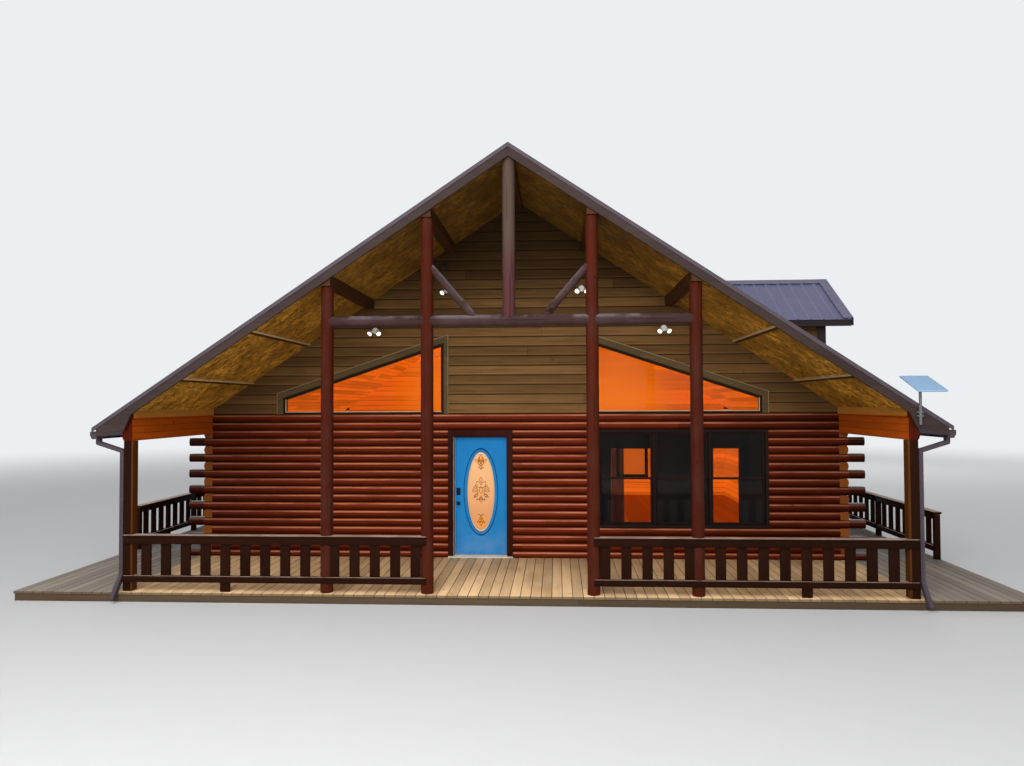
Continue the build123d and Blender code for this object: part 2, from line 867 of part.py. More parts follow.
def roof_edges():
    """Rake boards, eave boards, and the metal trims along the rakes and the ridge."""
    board = rake_board()
    eave = eave_board()
    boards = [board, mirrored(board), at_back(board), at_back(mirrored(board)), eave, mirrored(eave)]
    save("fascia_boards", *boards)
    trim = rake_trim()
    save("roof_trim", trim, mirrored(trim), at_back(trim), at_back(mirrored(trim)), ridge_cap())


# Dormer

def dormer_valley_x(offset):
    """Where the dormer roof's top line, off its ridge by an offset, meets the main roof."""
    return (ridge_top - dormer_top) / slope + offset


def dormer_slab(drop_low, drop_high):
    """The half of the dormer's roof on the porch side, between two drops from its top line."""
    middle = wall_y + dormer_ridge_y
    top = dormer_top
    half = dormer_eave
    near = joint_gap / 2
    points = [
        (middle - near, top - drop_high - slope * near),
        (middle - near, top - drop_low - slope * near),
        (middle - half, top - drop_low - slope * half),
        (middle - half, top - drop_high - slope * half),
    ]
    return prism_along_x(points, 0, dormer_end)


def dormer_sheet():
    """Ribbed metal over the same half, with ribs set out from the dormer's gable end."""
    middle = wall_y + dormer_ridge_y
    spare = dormer_last_rib + rib_pitch / 2
    bays = int((dormer_end - spare - dormer_valley_x(0)) / rib_pitch) + 2
    start = dormer_end - spare - bays * rib_pitch
    down = (0, -cos(radians(slope_angle)), -sin(radians(slope_angle)))
    plane = Plane((0, middle, dormer_top - sheet_drop()), x_dir=(1, 0, 0), z_dir=down)
    length = dormer_sheet_reach / cos(radians(slope_angle))
    sheet = extrude(plane * rib_outline(start, dormer_end), length)
    return sheet & box(0, far, -far, middle - joint_gap / 2, 0, far)


def across_dormer(shape):
    """The same piece on the dormer's other side."""
    return mirror(shape, about=Plane((0, wall_y + dormer_ridge_y, 0), z_dir=(0, 1, 0)))


def dormer():
    """A gabled dormer that stands on the right slope over the side wall."""
    middle = wall_y + dormer_ridge_y
    top = dormer_top
    eave = dormer_eave
    above_main = roof_prism(rake_trim_cover - seat_gap, far)
    under_sheet = sheet_drop() + sheet_thickness / cos(radians(slope_angle))
    on_slab = roof_prism(under_sheet - seat_gap, far)
    under = dormer_roof_thickness + seat_gap
    reach = (top - under) / slope
    room = prism_along_x([(middle, top - under), (middle - reach, 0), (middle + reach, 0)], 0, far)
    outer = half_width
    front = siding_slab(-dormer_half_width, dormer_half_width, wall_top, top, dormer_wall)
    front = Pos(outer, middle, 0) * Rot(0, 0, 90) * front
    front -= box(outer - far, outer + far, middle - side_window_width / 2, middle + side_window_width / 2,
                 dormer_window_low, dormer_window_high)
    save("dormer_front_wall", front & room & on_slab)
    cheek_low_x = dormer_valley_x(eave)
    cheek = siding_slab(cheek_low_x - eave, outer - dormer_wall - seat_gap, wall_top, top, dormer_wall)
    cheek = Pos(0, middle - dormer_half_width, 0) * cheek & room & on_slab
    save("dormer_side_walls", cheek, across_dormer(cheek))
    slab = (dormer_slab(dormer_roof_thickness, under_sheet) + dormer_sheet()) & above_main
    save("dormer_roof", slab, across_dormer(slab))
    save("dormer_trim", *dormer_trims(middle, top, above_main), *corner_boards(middle, room & above_main))


def dormer_trims(middle, top, above_main):
    """Ridge cap, gable boards with their metal flange, and eave boards of the dormer."""
    end = dormer_end + seat_gap
    near = joint_gap / 2
    reach = dormer_sheet_reach
    cap_low = rake_trim_cover - seat_gap
    cap_high = cap_low - ridge_cap_thickness
    cap = prism_along_x([
        (middle, top - cap_high),
        (middle - ridge_cap_leg, top - cap_high - slope * ridge_cap_leg),
        (middle - ridge_cap_leg, top - cap_low - slope * ridge_cap_leg),
        (middle, top - cap_low),
        (middle + ridge_cap_leg, top - cap_low - slope * ridge_cap_leg),
        (middle + ridge_cap_leg, top - cap_high - slope * ridge_cap_leg),
    ], 0, dormer_end - dormer_trim_flange)
    gable = dormer_gable_strip(near, reach, dormer_fascia_drop, end, end + eave_fascia_thickness)
    gable += dormer_gable_strip(near, reach, cap_low, dormer_end - dormer_trim_flange + seat_gap,
                                end + eave_fascia_thickness)
    edge_top = top - slope * dormer_eave
    board = box(0, dormer_end, middle - dormer_eave - eave_fascia_thickness, middle - dormer_eave - seat_gap,
                edge_top - dormer_eave_board_drop,
                edge_top - slope * eave_fascia_thickness - sheet_drop() - 2 * sheet_thickness)
    board &= above_main
    return [cap & above_main, gable, across_dormer(gable), board, across_dormer(board)]


def dormer_gable_strip(near, reach, drop, x0, x1):
    """A strip that follows the top of the dormer's gable on the porch side."""
    middle = wall_y + dormer_ridge_y
    return prism_along_x([
        (middle - near, dormer_top - slope * near),
        (middle - near, dormer_top - slope * near - drop),
        (middle - reach, dormer_top - slope * reach - drop),
        (middle - reach, dormer_top - slope * reach),
    ], x0, x1)


def corner_boards(middle, space):
    """Boards over the dormer's two outer corners, each bent round its corner."""
    y = middle - dormer_half_width - seat_gap
    x = half_width + seat_gap
    low = roof_z(x)
    board = box(x - corner_board_width, x + corner_board_thickness, y - corner_board_thickness, y, low, dormer_top)
    board += box(x, x + corner_board_thickness, y - 1, y + corner_board_width, low, dormer_top)
    board &= space
    return [board, across_dormer(board)]


# Porch

def soffit():
    """Boarding under the porch roof with battens over its joints."""
    back = gable_y - seat_gap
    reach = header_inner_x - header_band - seat_gap
    drop = roof_underside_drop + seat_gap
    thickness = soffit_panel / cos(radians(slope_angle))
    panel = prism_along_y([
        (joint_gap / 2, roof_z(joint_gap / 2, drop)),
        (joint_gap / 2, roof_z(joint_gap / 2, drop + thickness)),
        (reach, roof_z(reach, drop + thickness)),
        (reach, roof_z(reach, drop)),
    ], roof_front_y + seat_gap, back)
    step = soffit_sheet * cos(radians(slope_angle))
    batten_drop = drop + thickness
    batten_depth = soffit_batten_depth / cos(radians(slope_angle))
    x = header_inner_x - soffit_first_batten
    while x > outer_post_x + purlin_width:
        panel += prism_along_y([
            (x - soffit_batten_width / 2, roof_z(x - soffit_batten_width / 2, batten_drop - 1)),
            (x - soffit_batten_width / 2, roof_z(x - soffit_batten_width / 2, batten_drop + batten_depth)),
            (x + soffit_batten_width / 2, roof_z(x + soffit_batten_width / 2, batten_drop + batten_depth)),
            (x + soffit_batten_width / 2, roof_z(x + soffit_batten_width / 2, batten_drop - 1)),
        ], roof_front_y + seat_gap, back)
        x -= step
    save("porch_soffit", panel, mirrored(panel))


def soffit_drop():
    """Drop from the roof's top line to the face of the porch boarding."""
    return roof_underside_drop + 2 * seat_gap + soffit_panel / cos(radians(slope_angle))


def purlin(middle_x):
    """A beam under the porch roof from a post's head to the gable wall, bevelled to the roof."""
    left = middle_x - purlin_width / 2
    right = middle_x + purlin_width / 2
    low = purlin_bottom(middle_x)
    points = [(left, low), (right, low)]
    for x in (right, 0, left):
        if left <= x <= right:
            points.append((x, roof_z(x, soffit_drop())))
    return points


def purlin_bottom(middle_x):
    """Height of a purlin's underside."""
    return roof_z(middle_x, soffit_drop()) - purlin_depth


def purlins():
    """Four purlins on the posts, and the ridge beam behind the king post."""
    front = roof_front_y + seat_gap
    back = gable_y - seat_gap
    beams = []
    for x in (inner_post_x, outer_post_x):
        beam = prism_along_y(purlin(x), front, back)
        beams += [beam, mirrored(beam)]
    king_back = post_y + round_post_diameter / 2 + seat_gap
    beams.append(prism_along_y(purlin(0), king_back, back))
    save("purlins", *beams)


def tie_beam_bars():
    """The round tie beam in three lengths, hollowed to fit the posts that it meets."""
    z = tie_beam_z
    cut = round_post_diameter + 2 * seat_gap
    posts = []
    for x in (-outer_post_x, -inner_post_x, inner_post_x, outer_post_x):
        posts.append(rod((x, post_y, 0), (x, post_y, ridge_top), cut))
    bars = []
    for x0, x1 in ((-outer_post_x, -inner_post_x), (-inner_post_x, inner_post_x), (inner_post_x, outer_post_x)):
        bar = rod((x0, post_y, z), (x1, post_y, z), tie_beam_diameter)
        for post in posts:
            bar -= post
        bars.append(bar)
    return bars


def post_frame():
    """Round posts, king post, tie beam and braces of the porch gable."""
    posts = []
    for x in (inner_post_x, outer_post_x):
        top = purlin_bottom(x) - seat_gap
        post = rod((x, post_y, deck_top + seat_gap), (x, post_y, top), round_post_diameter)
        posts += [post, mirrored(post)]
    z = tie_beam_z
    beam_space = rod((-half_width, post_y, z), (half_width, post_y, z), tie_beam_diameter + 2 * seat_gap)
    king = rod((0, post_y, z), (0, post_y, ridge_top), round_post_diameter)
    king -= beam_space
    king -= box(-far, far, -far, far, 0, z)
    king -= roof_prism(soffit_drop(), far)
    save("porch_posts", *posts, king)
    save("tie_beam", *tie_beam_bars())
    foot = (brace_foot_x, post_y, z)
    head = (inner_post_x, post_y, ridge_top - brace_head_drop)
    brace = rod(foot, head, brace_diameter)
    brace -= beam_space
    brace -= box(-far, far, -far, far, 0, z)
    brace -= rod((inner_post_x, post_y, 0), (inner_post_x, post_y, ridge_top), round_post_diameter + 2 * seat_gap)
    brace = brace.solids().sort_by(SortBy.VOLUME)[-1]
    save("braces", brace, mirrored(brace))


def headers():
    """Round-faced beams from the corner posts to the side walls, with a band board on each."""
    low = header_low
    high = header_high
    middle = (low + high) / 2
    bulge = half_width - log_groove
    edges = [
        Line((header_inner_x, low), (header_inner_x, high)),
        Line((header_inner_x, high), (bulge, high)),
        ThreePointArc((bulge, high), (half_width, (middle + high) / 2), (bulge, middle)),
        ThreePointArc((bulge, middle), (half_width, (middle + low) / 2), (bulge, low)),
        Line((bulge, low), (header_inner_x, low)),
    ]
    front = post_y - corner_post_size / 2
    back = wall_y - seat_gap
    plane = Plane((0, back, 0), x_dir=(1, 0, 0), z_dir=(0, -1, 0))
    beam = extrude(plane * make_face(Wire(edges)), back - front)
    drop = roof_underside_drop + seat_gap
    band = prism_along_y([
        (header_inner_x - header_band, high - header_band_lap),
        (header_inner_x, high - header_band_lap),
        (header_inner_x, high),
        (bulge, high),
        (bulge, roof_z(bulge, drop)),
        (header_inner_x - header_band, roof_z(header_inner_x - header_band, drop)),
    ], front, back)
    beam += band
    save("header_beams", beam, mirrored(beam))
    half = corner_post_size / 2
    post = box(corner_post_x - half, corner_post_x + half, post_y - half, post_y + half,
               deck_top + seat_gap, low - seat_gap)
    save("corner_posts", post, mirrored(post))


# Decks, floor and railings

def deck(x0, x1, y0, y1):
    """Boards on joists and rims that stand on the ground."""
    boards = box(x0, x1, y0, y1, deck_top - deck_board, deck_top)
    width = deck_joist_width
    low = deck_top - deck_board
    frame = ring_flat(x0, x1, y0, y1, width, 0, low)
    x = x0 + deck_joist_pitch
    while x < x1 - deck_joist_pitch / 2:
        frame += box(x - width / 2, x + width / 2, y0, y1, 0, low)
        x += deck_joist_pitch
    return boards + frame


def ring_flat(x0, x1, y0, y1, width, z0, z1):
    """A level rectangular frame of one width."""
    return box(x0, x1, y0, y1, z0, z1) - box(x0 + width, x1 - width, y0 + width, y1 - width, z0 - 1, z1 + 1)


def decks_and_floor():
    """Porch deck, side decks, the slab under the house and its floor."""
    front = post_y - deck_front_margin
    save("porch_deck", deck(-deck_half_width, deck_half_width, front, wall_y - seat_gap))
    side = deck(half_width + seat_gap, deck_half_width, wall_y, wall_y + side_deck_depth)
    side -= side_log_room()
    save("side_decks", side, mirrored(side))
    edge = half_width - log_groove
    slab = box(-edge, edge, wall_y + log_groove, back_y - log_groove, 0, log_base)
    save("foundation", slab)
    inner = inner_half - seat_gap
    floor = box(-inner, inner, wall_y + log_thickness + seat_gap, back_y - log_thickness - seat_gap,
                log_base, floor_top)
    save("floor", floor)


def side_log_room():
    """Room for the front wall's log tails where they pass through a side deck."""
    reach = half_width + front_wall_tail + seat_gap
    return box(0, reach, wall_y - 1, wall_y + log_thickness + seat_gap, log_base - seat_gap, far)


def rail_bay(length, count, first, pitch, middle_foot):
    """A length of railing along X: cap, upper and lower bars on both faces, boards between."""
    half_cap = rail_cap_width / 2
    top = deck_top + rail_height
    inner = baluster_thickness / 2
    outer = inner + rail_bar_thickness
    upper = top - rail_cap_thickness - rail_bar_height
    lower = deck_top + rail_bottom
    rail = box(0, length, -half_cap, half_cap, top - rail_cap_thickness, top)
    rail += box(0, length, -outer, outer, upper, top - rail_cap_thickness)
    rail += box(0, length, -outer, outer, lower, lower + rail_bar_height)
    for index in range(count):
        left = first + index * pitch
        standing = middle_foot and index == count // 2
        foot = deck_top + seat_gap if standing else lower
        rail += box(left, left + baluster_width, -inner, inner, foot, upper)
    return rail


def post_bite():
    """Space that the porch posts take in the railings that pass in front of them."""
    cuts = []
    for x in (inner_post_x, outer_post_x):
        cuts.append(rod((x, post_y, 0), (x, post_y, ridge_top), round_post_diameter + 2 * seat_gap))
    half = corner_post_size / 2 + seat_gap
    cuts.append(box(corner_post_x - half, corner_post_x + far, post_y - half, post_y + far, 0, ridge_top))
    return cuts


def porch_rails():
    """Railings past the posts' front faces, on both sides of the open middle bay."""
    end = corner_post_x + corner_post_size / 2 - rail_end_margin
    outer = rail_bay(end - outer_post_x, outer_bay_balusters, outer_bay_first, baluster_pitch, True)
    outer = Pos(outer_post_x, post_y - rail_forward, 0) * outer
    inner = rail_bay(outer_post_x - inner_post_x, inner_bay_balusters, inner_bay_first, baluster_pitch, False)
    inner = Pos(inner_post_x, post_y - rail_forward, 0) * inner
    rail = outer + inner
    for cut in post_bite():
        rail -= cut
    save("porch_rails", rail, mirrored(rail))


def newel(x, y):
    """A square post under a side railing's cap, centred across and starting at y."""
    half = newel_size / 2
    top = deck_top + rail_height - rail_cap_thickness
    return box(x - half, x + half, y, y + newel_size, deck_top + seat_gap, top)


def side_rail(side, start):
    """Railing along one side deck's outer edge, from its first end post to the deck's end."""
    x = deck_half_width - side_rail_inset
    end = side_deck_depth - newel_size
    middle = (start + end) / 2
    half_cap = rail_cap_width / 2
    top = deck_top + rail_height
    rail = box(x - half_cap, x + half_cap, wall_y + start, wall_y + side_deck_depth, top - rail_cap_thickness, top)
    for first, last in ((start, middle), (middle, end)):
        length = last - first - newel_size
        spare = (length - side_rail_balusters * baluster_width) / (side_rail_balusters + 1)
        bay = rail_bay(length, side_rail_balusters, spare, baluster_width + spare, True)
        rail += Pos(x, wall_y + first + newel_size, 0) * Rot(0, 0, 90) * bay
    for place in (start, middle, end):
        rail += newel(x, wall_y + place)
    return rail if side > 0 else mirrored(rail)


def side_rails():
    """Railings of both side decks."""
    save("side_rails", side_rail(1, right_newel_start), side_rail(-1, left_newel_start))


# Rainwater goods

def gutter():
    """The right eave's open gutter with closed ends."""
    x0 = eave_fascia_x + seat_gap
    x1 = x0 + gutter_width
    top = gutter_top
    low = top - gutter_depth
    wall = gutter_wall
    y0 = roof_front_y
    y1 = roof_back_y
    trough = prism_along_y([
        (x0, top),
        (x0, low),
        (x1 - gutter_width / 4, low),
        (x1, low + gutter_depth / 2),
        (x1, top),
    ], y0, y1)
    inside = prism_along_y([
        (x0 + wall, top + 1),
        (x0 + wall, low + wall),
        (x1 - gutter_width / 4 - wall / 2, low + wall),
        (x1 - wall, low + gutter_depth / 2 + wall / 2),
        (x1 - wall, top + 1),
    ], y0 + wall, y1 - wall)
    return trough - inside


def downspout():
    """The right downspout: out of the gutter, back to the post, down it and forward at the foot."""
    low = gutter_top - gutter_depth - seat_gap
    outlet_x = eave_fascia_x + gutter_width * 3 / 8
    y = post_y
    bend = wall_top - downspout_bend_drop
    kick = deck_top + downspout_kick_height
    top_run = [
        (outlet_x, y, low),
        (outlet_x, y, low - downspout_outlet_drop),
        (downspout_x, y, bend),
        (downspout_x, y, kick),
        (downspout_x, y - downspout_kick_reach, downspout_width * 0.75),
    ]
    pipe = None
    for start, end in zip(top_run, top_run[1:]):
        pipe = pipe_piece(start, end) if pipe is None else pipe + pipe_piece(start, end)
    for place in top_run[1:4]:
        pipe += Pos(*place) * Cylinder(downspout_depth / 2, downspout_width, rotation=(90, 0, 0))
    return pipe


def pipe_piece(start, end):
    """A straight length of flat-sided pipe between two points."""
    direction = Vector(*end) - Vector(*start)
    across = (0, 1, 0) if abs(direction.Y) < 1 else (1, 0, 0)
    plane = Plane(origin=start, x_dir=across, z_dir=direction)
    size = (downspout_width, downspout_depth) if across == (0, 1, 0) else (downspout_depth, downspout_width)
    return extrude(plane * Rectangle(*size), direction.length)


def rainwater():
    """Gutters on both eaves and a downspout beside each corner post."""
    save("gutters", gutter(), mirrored(gutter()))
    save("downspouts", downspout(), mirrored(downspout()))


# Fittings

def floodlight(x, drop):
    """A wall plate with two lamp heads that point down and out."""
    z = roof_z(x, drop)
    y = gable_y - seat_gap
    light = bar((x, y, z), (x, y - floodlight_plate_depth, z), floodlight_plate, 2 * fitting_sides)
    for side in (-1, 1):
        joints = []
        for across, out, down in (floodlight_neck_start, floodlight_neck_end, floodlight_head_end):
            joints.append((x + side * across, y - out, z - down))
        light += bar(joints[0], joints[1], floodlight_neck, fitting_sides)
        light += bar(joints[1], joints[2], floodlight_head, fitting_sides)
    return light


def wall_fixtures():
    """Floodlights and a small camera on the front gable."""
    fixtures = [floodlight(x, drop) for x, drop in floodlight_spots]
    x, drop = camera_spot
    z = roof_z(x, drop)
    y = gable_y - seat_gap
    fixtures.append(Pos(x, y, z) * Rot(90, 0, 0) * dome_shape(camera_depth, camera_diameter, camera_dome))
    save("wall_fixtures", *fixtures)


def dish():
    """A flat dish on a short mast that is clamped to the right rake board."""
    front = rake_y - rake_trim_thickness
    y = front - dish_standoff
    z = roof_z(dish_mast_x) + dish_rise
    plate = Pos(dish_x, y, z) * Rot(dish_tilt, 0, 0) * Box(dish_width, dish_length, dish_thickness)
    foot = roof_z(dish_mast_x) - dish_mast_foot_drop
    mast = rod((dish_mast_x, y, foot), (dish_mast_x, y, z), dish_mast_diameter)
    shape = plate + mast
    board_low = roof_z(dish_mast_x, fascia_drop)
    half_clamp = dish_clamp_width / 2
    half_height = dish_clamp_height / 2
    for rise in dish_clamp_rises:
        height = board_low + rise
        shape += box(dish_mast_x - half_clamp, dish_mast_x + half_clamp, y - dish_clamp_front,
                     rake_y - seat_gap, height - half_height, height + half_height)
    save("dish", shape)


front_walls()
side_and_back_walls()
gables()
windows()
doorway()
roof()
roof_edges()
dormer()
soffit()
purlins()
post_frame()
headers()
decks_and_floor()
porch_rails()
side_rails()
rainwater()
wall_fixtures()
dish()
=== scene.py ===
import math
import random

import bpy
from mathutils import Matrix, Vector


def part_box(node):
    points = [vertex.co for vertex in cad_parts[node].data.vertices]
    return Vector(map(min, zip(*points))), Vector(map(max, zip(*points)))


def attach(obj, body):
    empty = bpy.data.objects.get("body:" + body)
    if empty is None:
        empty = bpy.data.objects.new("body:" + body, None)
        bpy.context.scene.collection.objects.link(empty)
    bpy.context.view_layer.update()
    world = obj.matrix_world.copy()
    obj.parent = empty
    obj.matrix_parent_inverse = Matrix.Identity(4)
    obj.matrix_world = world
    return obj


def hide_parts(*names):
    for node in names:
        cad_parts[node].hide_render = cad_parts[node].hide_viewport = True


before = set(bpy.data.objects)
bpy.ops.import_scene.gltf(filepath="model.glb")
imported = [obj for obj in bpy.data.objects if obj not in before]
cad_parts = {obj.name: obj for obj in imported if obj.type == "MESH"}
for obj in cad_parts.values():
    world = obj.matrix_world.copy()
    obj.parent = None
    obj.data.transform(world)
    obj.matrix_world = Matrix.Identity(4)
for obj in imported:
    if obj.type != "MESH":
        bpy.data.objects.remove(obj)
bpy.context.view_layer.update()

bl_info = {
    "name": "Log Cabin",
    "version": (1, 0, 0),
    "blender": (4, 5, 0),
    "location": "View3D > Sidebar > Cabin",
    "description": "Dresses a log cabin with a gabled porch: logs, boards, railings, door, windows and roof",
    "category": "Object",
}

HOUSE = "house"
DOOR = "front_door"
X, Y, Z = 0, 1, 2

# Places taken from the frame, in metres
back_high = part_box("back_wall")[1]
deck_low, deck_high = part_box("porch_deck")
side_deck_low, side_deck_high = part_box("side_decks")
corner_low, corner_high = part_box("corner_posts")
header_low, header_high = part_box("header_beams")
tie_low, tie_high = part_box("tie_beam")
frame_low, frame_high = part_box("door_frame")
leaf_low, leaf_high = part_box("door")
glass_low, glass_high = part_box("door_glass")
window_low, window_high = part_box("front_window")
gable_low, gable_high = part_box("gable_windows")
roof_low, roof_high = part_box("roof_right")
trim_low, trim_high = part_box("roof_trim")
rail_low, rail_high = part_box("porch_rails")
dormer_low, dormer_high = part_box("dormer_side_walls")
floor_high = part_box("floor")[1]

wall_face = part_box("front_wall_left")[0].y
wall_top = back_high.z
back_face = back_high.y
middle_y = (wall_face + back_face) / 2
house_half = -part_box("left_wall")[0].x
inner_half = floor_high.x
log_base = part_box("foundation")[1].z
deck_top = deck_high.z
ridge_top = trim_high.z
post_line = (corner_low.y + corner_high.y) / 2
tie_height = (tie_low.z + tie_high.z) / 2
glass_middle = (glass_low + glass_high) / 2
glass_size = glass_high - glass_low
door_front = leaf_low.y + 0.008
door_back = leaf_high.y - 0.008

# Sizes that the frame doesn't give, in metres
slope = 8 / 12
slope_angle = math.atan(slope)
log_height = 0.139
log_thickness = 0.150
siding_pitch = 0.166
ceiling_pitch = 0.116
rib_pitch = 0.229
inner_post, outer_post = 1.161, 2.591
header_inner = 5.4
rain_line = 5.62
pane_inner, pane_outer = 1.335, 4.1
pane_low = wall_top + 0.032
pane_top = pane_low + 0.228 + (pane_outer - pane_inner) / 3
casing_inner, casing_outer = 1.2303, 4.2397
rail_height = 0.8
rail_half = 0.07
baluster_width = 0.14
baluster_pitch = 0.288
side_post_width = 0.089
plank_thickness = 0.038
bar_height = 0.089
low_bar_rise = 0.135
casing_width = 0.050
sash_width = 0.035
sash_half = 0.4497
mullion_width = 0.046
board_thickness = 0.036
side_board_count = 11
joist_spacing = 0.41
hair = 0.0003

# No glow, and the axis across the grain for each axis that it follows
NO_LIGHT = (0.0, 0.0, 0.0)
CROSSWAYS = {X: Z, Y: X, Z: X}


# Values a user would change

def length_value(name, description, default, low, high):
    """A length that a user can set."""
    return bpy.props.FloatProperty(name=name, description=description, default=default, min=low, max=high,
                                   unit="LENGTH")


def colour_value(name, description, default):
    """A colour that a user can set."""
    return bpy.props.FloatVectorProperty(name=name, description=description, default=default, min=0, max=1,
                                         size=3, subtype="COLOR")


class CabinSizes(bpy.types.PropertyGroup):
    """Sizes of the pieces that this script adds."""

    edge_round: length_value("Edge round", "Rounding along the edges of sawn timber", 0.005, 0.001, 0.012)
    deck_board: length_value("Deck board", "Width of one deck board with its gap", 0.1449, 0.09, 0.2)
    deck_gap: length_value("Deck gap", "Gap between two deck boards", 0.007, 0.002, 0.015)
    post_width: length_value("Round post", "Diameter of the round porch posts", 0.180, 0.12, 0.24)
    post_unevenness: length_value(
        "Post unevenness", "How far a round post's face swells and dips", 0.010, 0.0, 0.02)
    screw_spacing: length_value(
        "Screw spacing", "Distance between two rows of roof screws up the slope", 0.76, 0.3, 1.2)
    indoor_glow: bpy.props.FloatProperty(
        name="Indoor glow", description="How brightly the pine rooms show through the windows",
        default=0.55, min=0.0, max=2.0)


class CabinColours(bpy.types.PropertyGroup):
    """Stains and paints."""

    log_stain: colour_value("Log stain", "Stain of the wall logs", (0.108, 0.0135, 0.0032))
    siding_stain: colour_value("Siding stain", "Stain of the gable boards", (0.150, 0.078, 0.027))
    post_stain: colour_value("Post stain", "Stain of the round porch posts", (0.056, 0.0090, 0.0034))
    rail_stain: colour_value(
        "Railing stain", "Stain of the railings and corner posts", (0.0160, 0.0046, 0.0018))
    trim_stain: colour_value("Trim stain", "Stain of the window and door casings", (0.016, 0.0095, 0.0080))
    pine: colour_value("Pine", "Varnished pine indoors and on the porch beams", (0.78, 0.165, 0.006))
    flake: colour_value("Flake board", "Boarding under the porch roof", (0.54, 0.28, 0.040))
    deck_tan: colour_value("Porch deck", "Deck boards under the porch roof", (0.86, 0.56, 0.30))
    deck_grey: colour_value("Weathered deck", "Deck boards that stand in the rain", (0.22, 0.200, 0.180))
    roof_paint: colour_value("Roof paint", "Paint of the ribbed roof metal", (0.150, 0.145, 0.240))
    trim_paint: colour_value(
        "Trim paint", "Paint of the roof trims, gutters and downspouts", (0.082, 0.064, 0.076))
    fascia_stain: colour_value(
        "Rake board stain", "Stain of the boards along the roof's edges", (0.046, 0.031, 0.028))
    door_paint: colour_value("Door paint", "Paint of the front door", (0.016, 0.205, 0.510))
    door_glass: colour_value(
        "Door glass", "Frosted glass of the front door, lit from indoors", (0.74, 0.330, 0.135))


def sizes():
    """The sizes set for this scene."""
    return bpy.context.scene.cabin_sizes


def colours():
    """The stains and paints set for this scene."""
    return bpy.context.scene.cabin_colours


# Material building

class Value:
    """A socket of a material. Sums and comparisons of it add Math nodes."""

    def __init__(self, nodes, socket):
        self.nodes = nodes
        self.socket = socket

    def part(self, name):
        """Another output of the same node."""
        return Value(self.nodes, self.socket.node.outputs[name])

    def sum_of(self, operation, *terms):
        return self.nodes.node("ShaderNodeMath", {"operation": operation}, dict(enumerate(terms)))

    def __add__(self, other):
        return self.sum_of("ADD", self, other)

    __radd__ = __add__

    def __sub__(self, other):
        return self.sum_of("SUBTRACT", self, other)

    def __rsub__(self, other):
        return self.sum_of("SUBTRACT", other, self)

    def __mul__(self, other):
        return self.sum_of("MULTIPLY", self, other)

    __rmul__ = __mul__

    def __truediv__(self, other):
        return self.sum_of("DIVIDE", self, other)

    def __gt__(self, other):
        return self.sum_of("GREATER_THAN", self, other)

    def __lt__(self, other):
        return self.sum_of("LESS_THAN", self, other)

    def __abs__(self):
        return self.sum_of("ABSOLUTE", self)

    def whole(self):
        return self.sum_of("FLOOR", self)

    def rest(self):
        return self.sum_of("FRACT", self)

    def wave(self):
        return self.sum_of("SINE", self)

    def least(self, other):
        return self.sum_of("MINIMUM", self, other)

    def most(self, other):
        return self.sum_of("MAXIMUM", self, other)


class Nodes:
    """The nodes of one material, or of the world."""

    def __init__(self, tree):
        self.tree = tree
        self.tree.nodes.clear()

    def node(self, kind, settings=None, sockets=None, output=0):
        """A node of one kind: its settings first, then values or links for its sockets."""
        made = self.tree.nodes.new(kind)
        for name, value in (settings or {}).items():
            setattr(made, name, value)
        for name, value in (sockets or {}).items():
            self.feed(made.inputs[name], value)
        return Value(self, made.outputs[output]) if made.outputs else made

    def feed(self, socket, value):
        """Link or set one socket."""
        if isinstance(value, Value):
            self.tree.links.new(value.socket, socket)
        elif socket.type == "RGBA":
            socket.default_value = (*value[:3], 1.0)
        else:
            socket.default_value = value


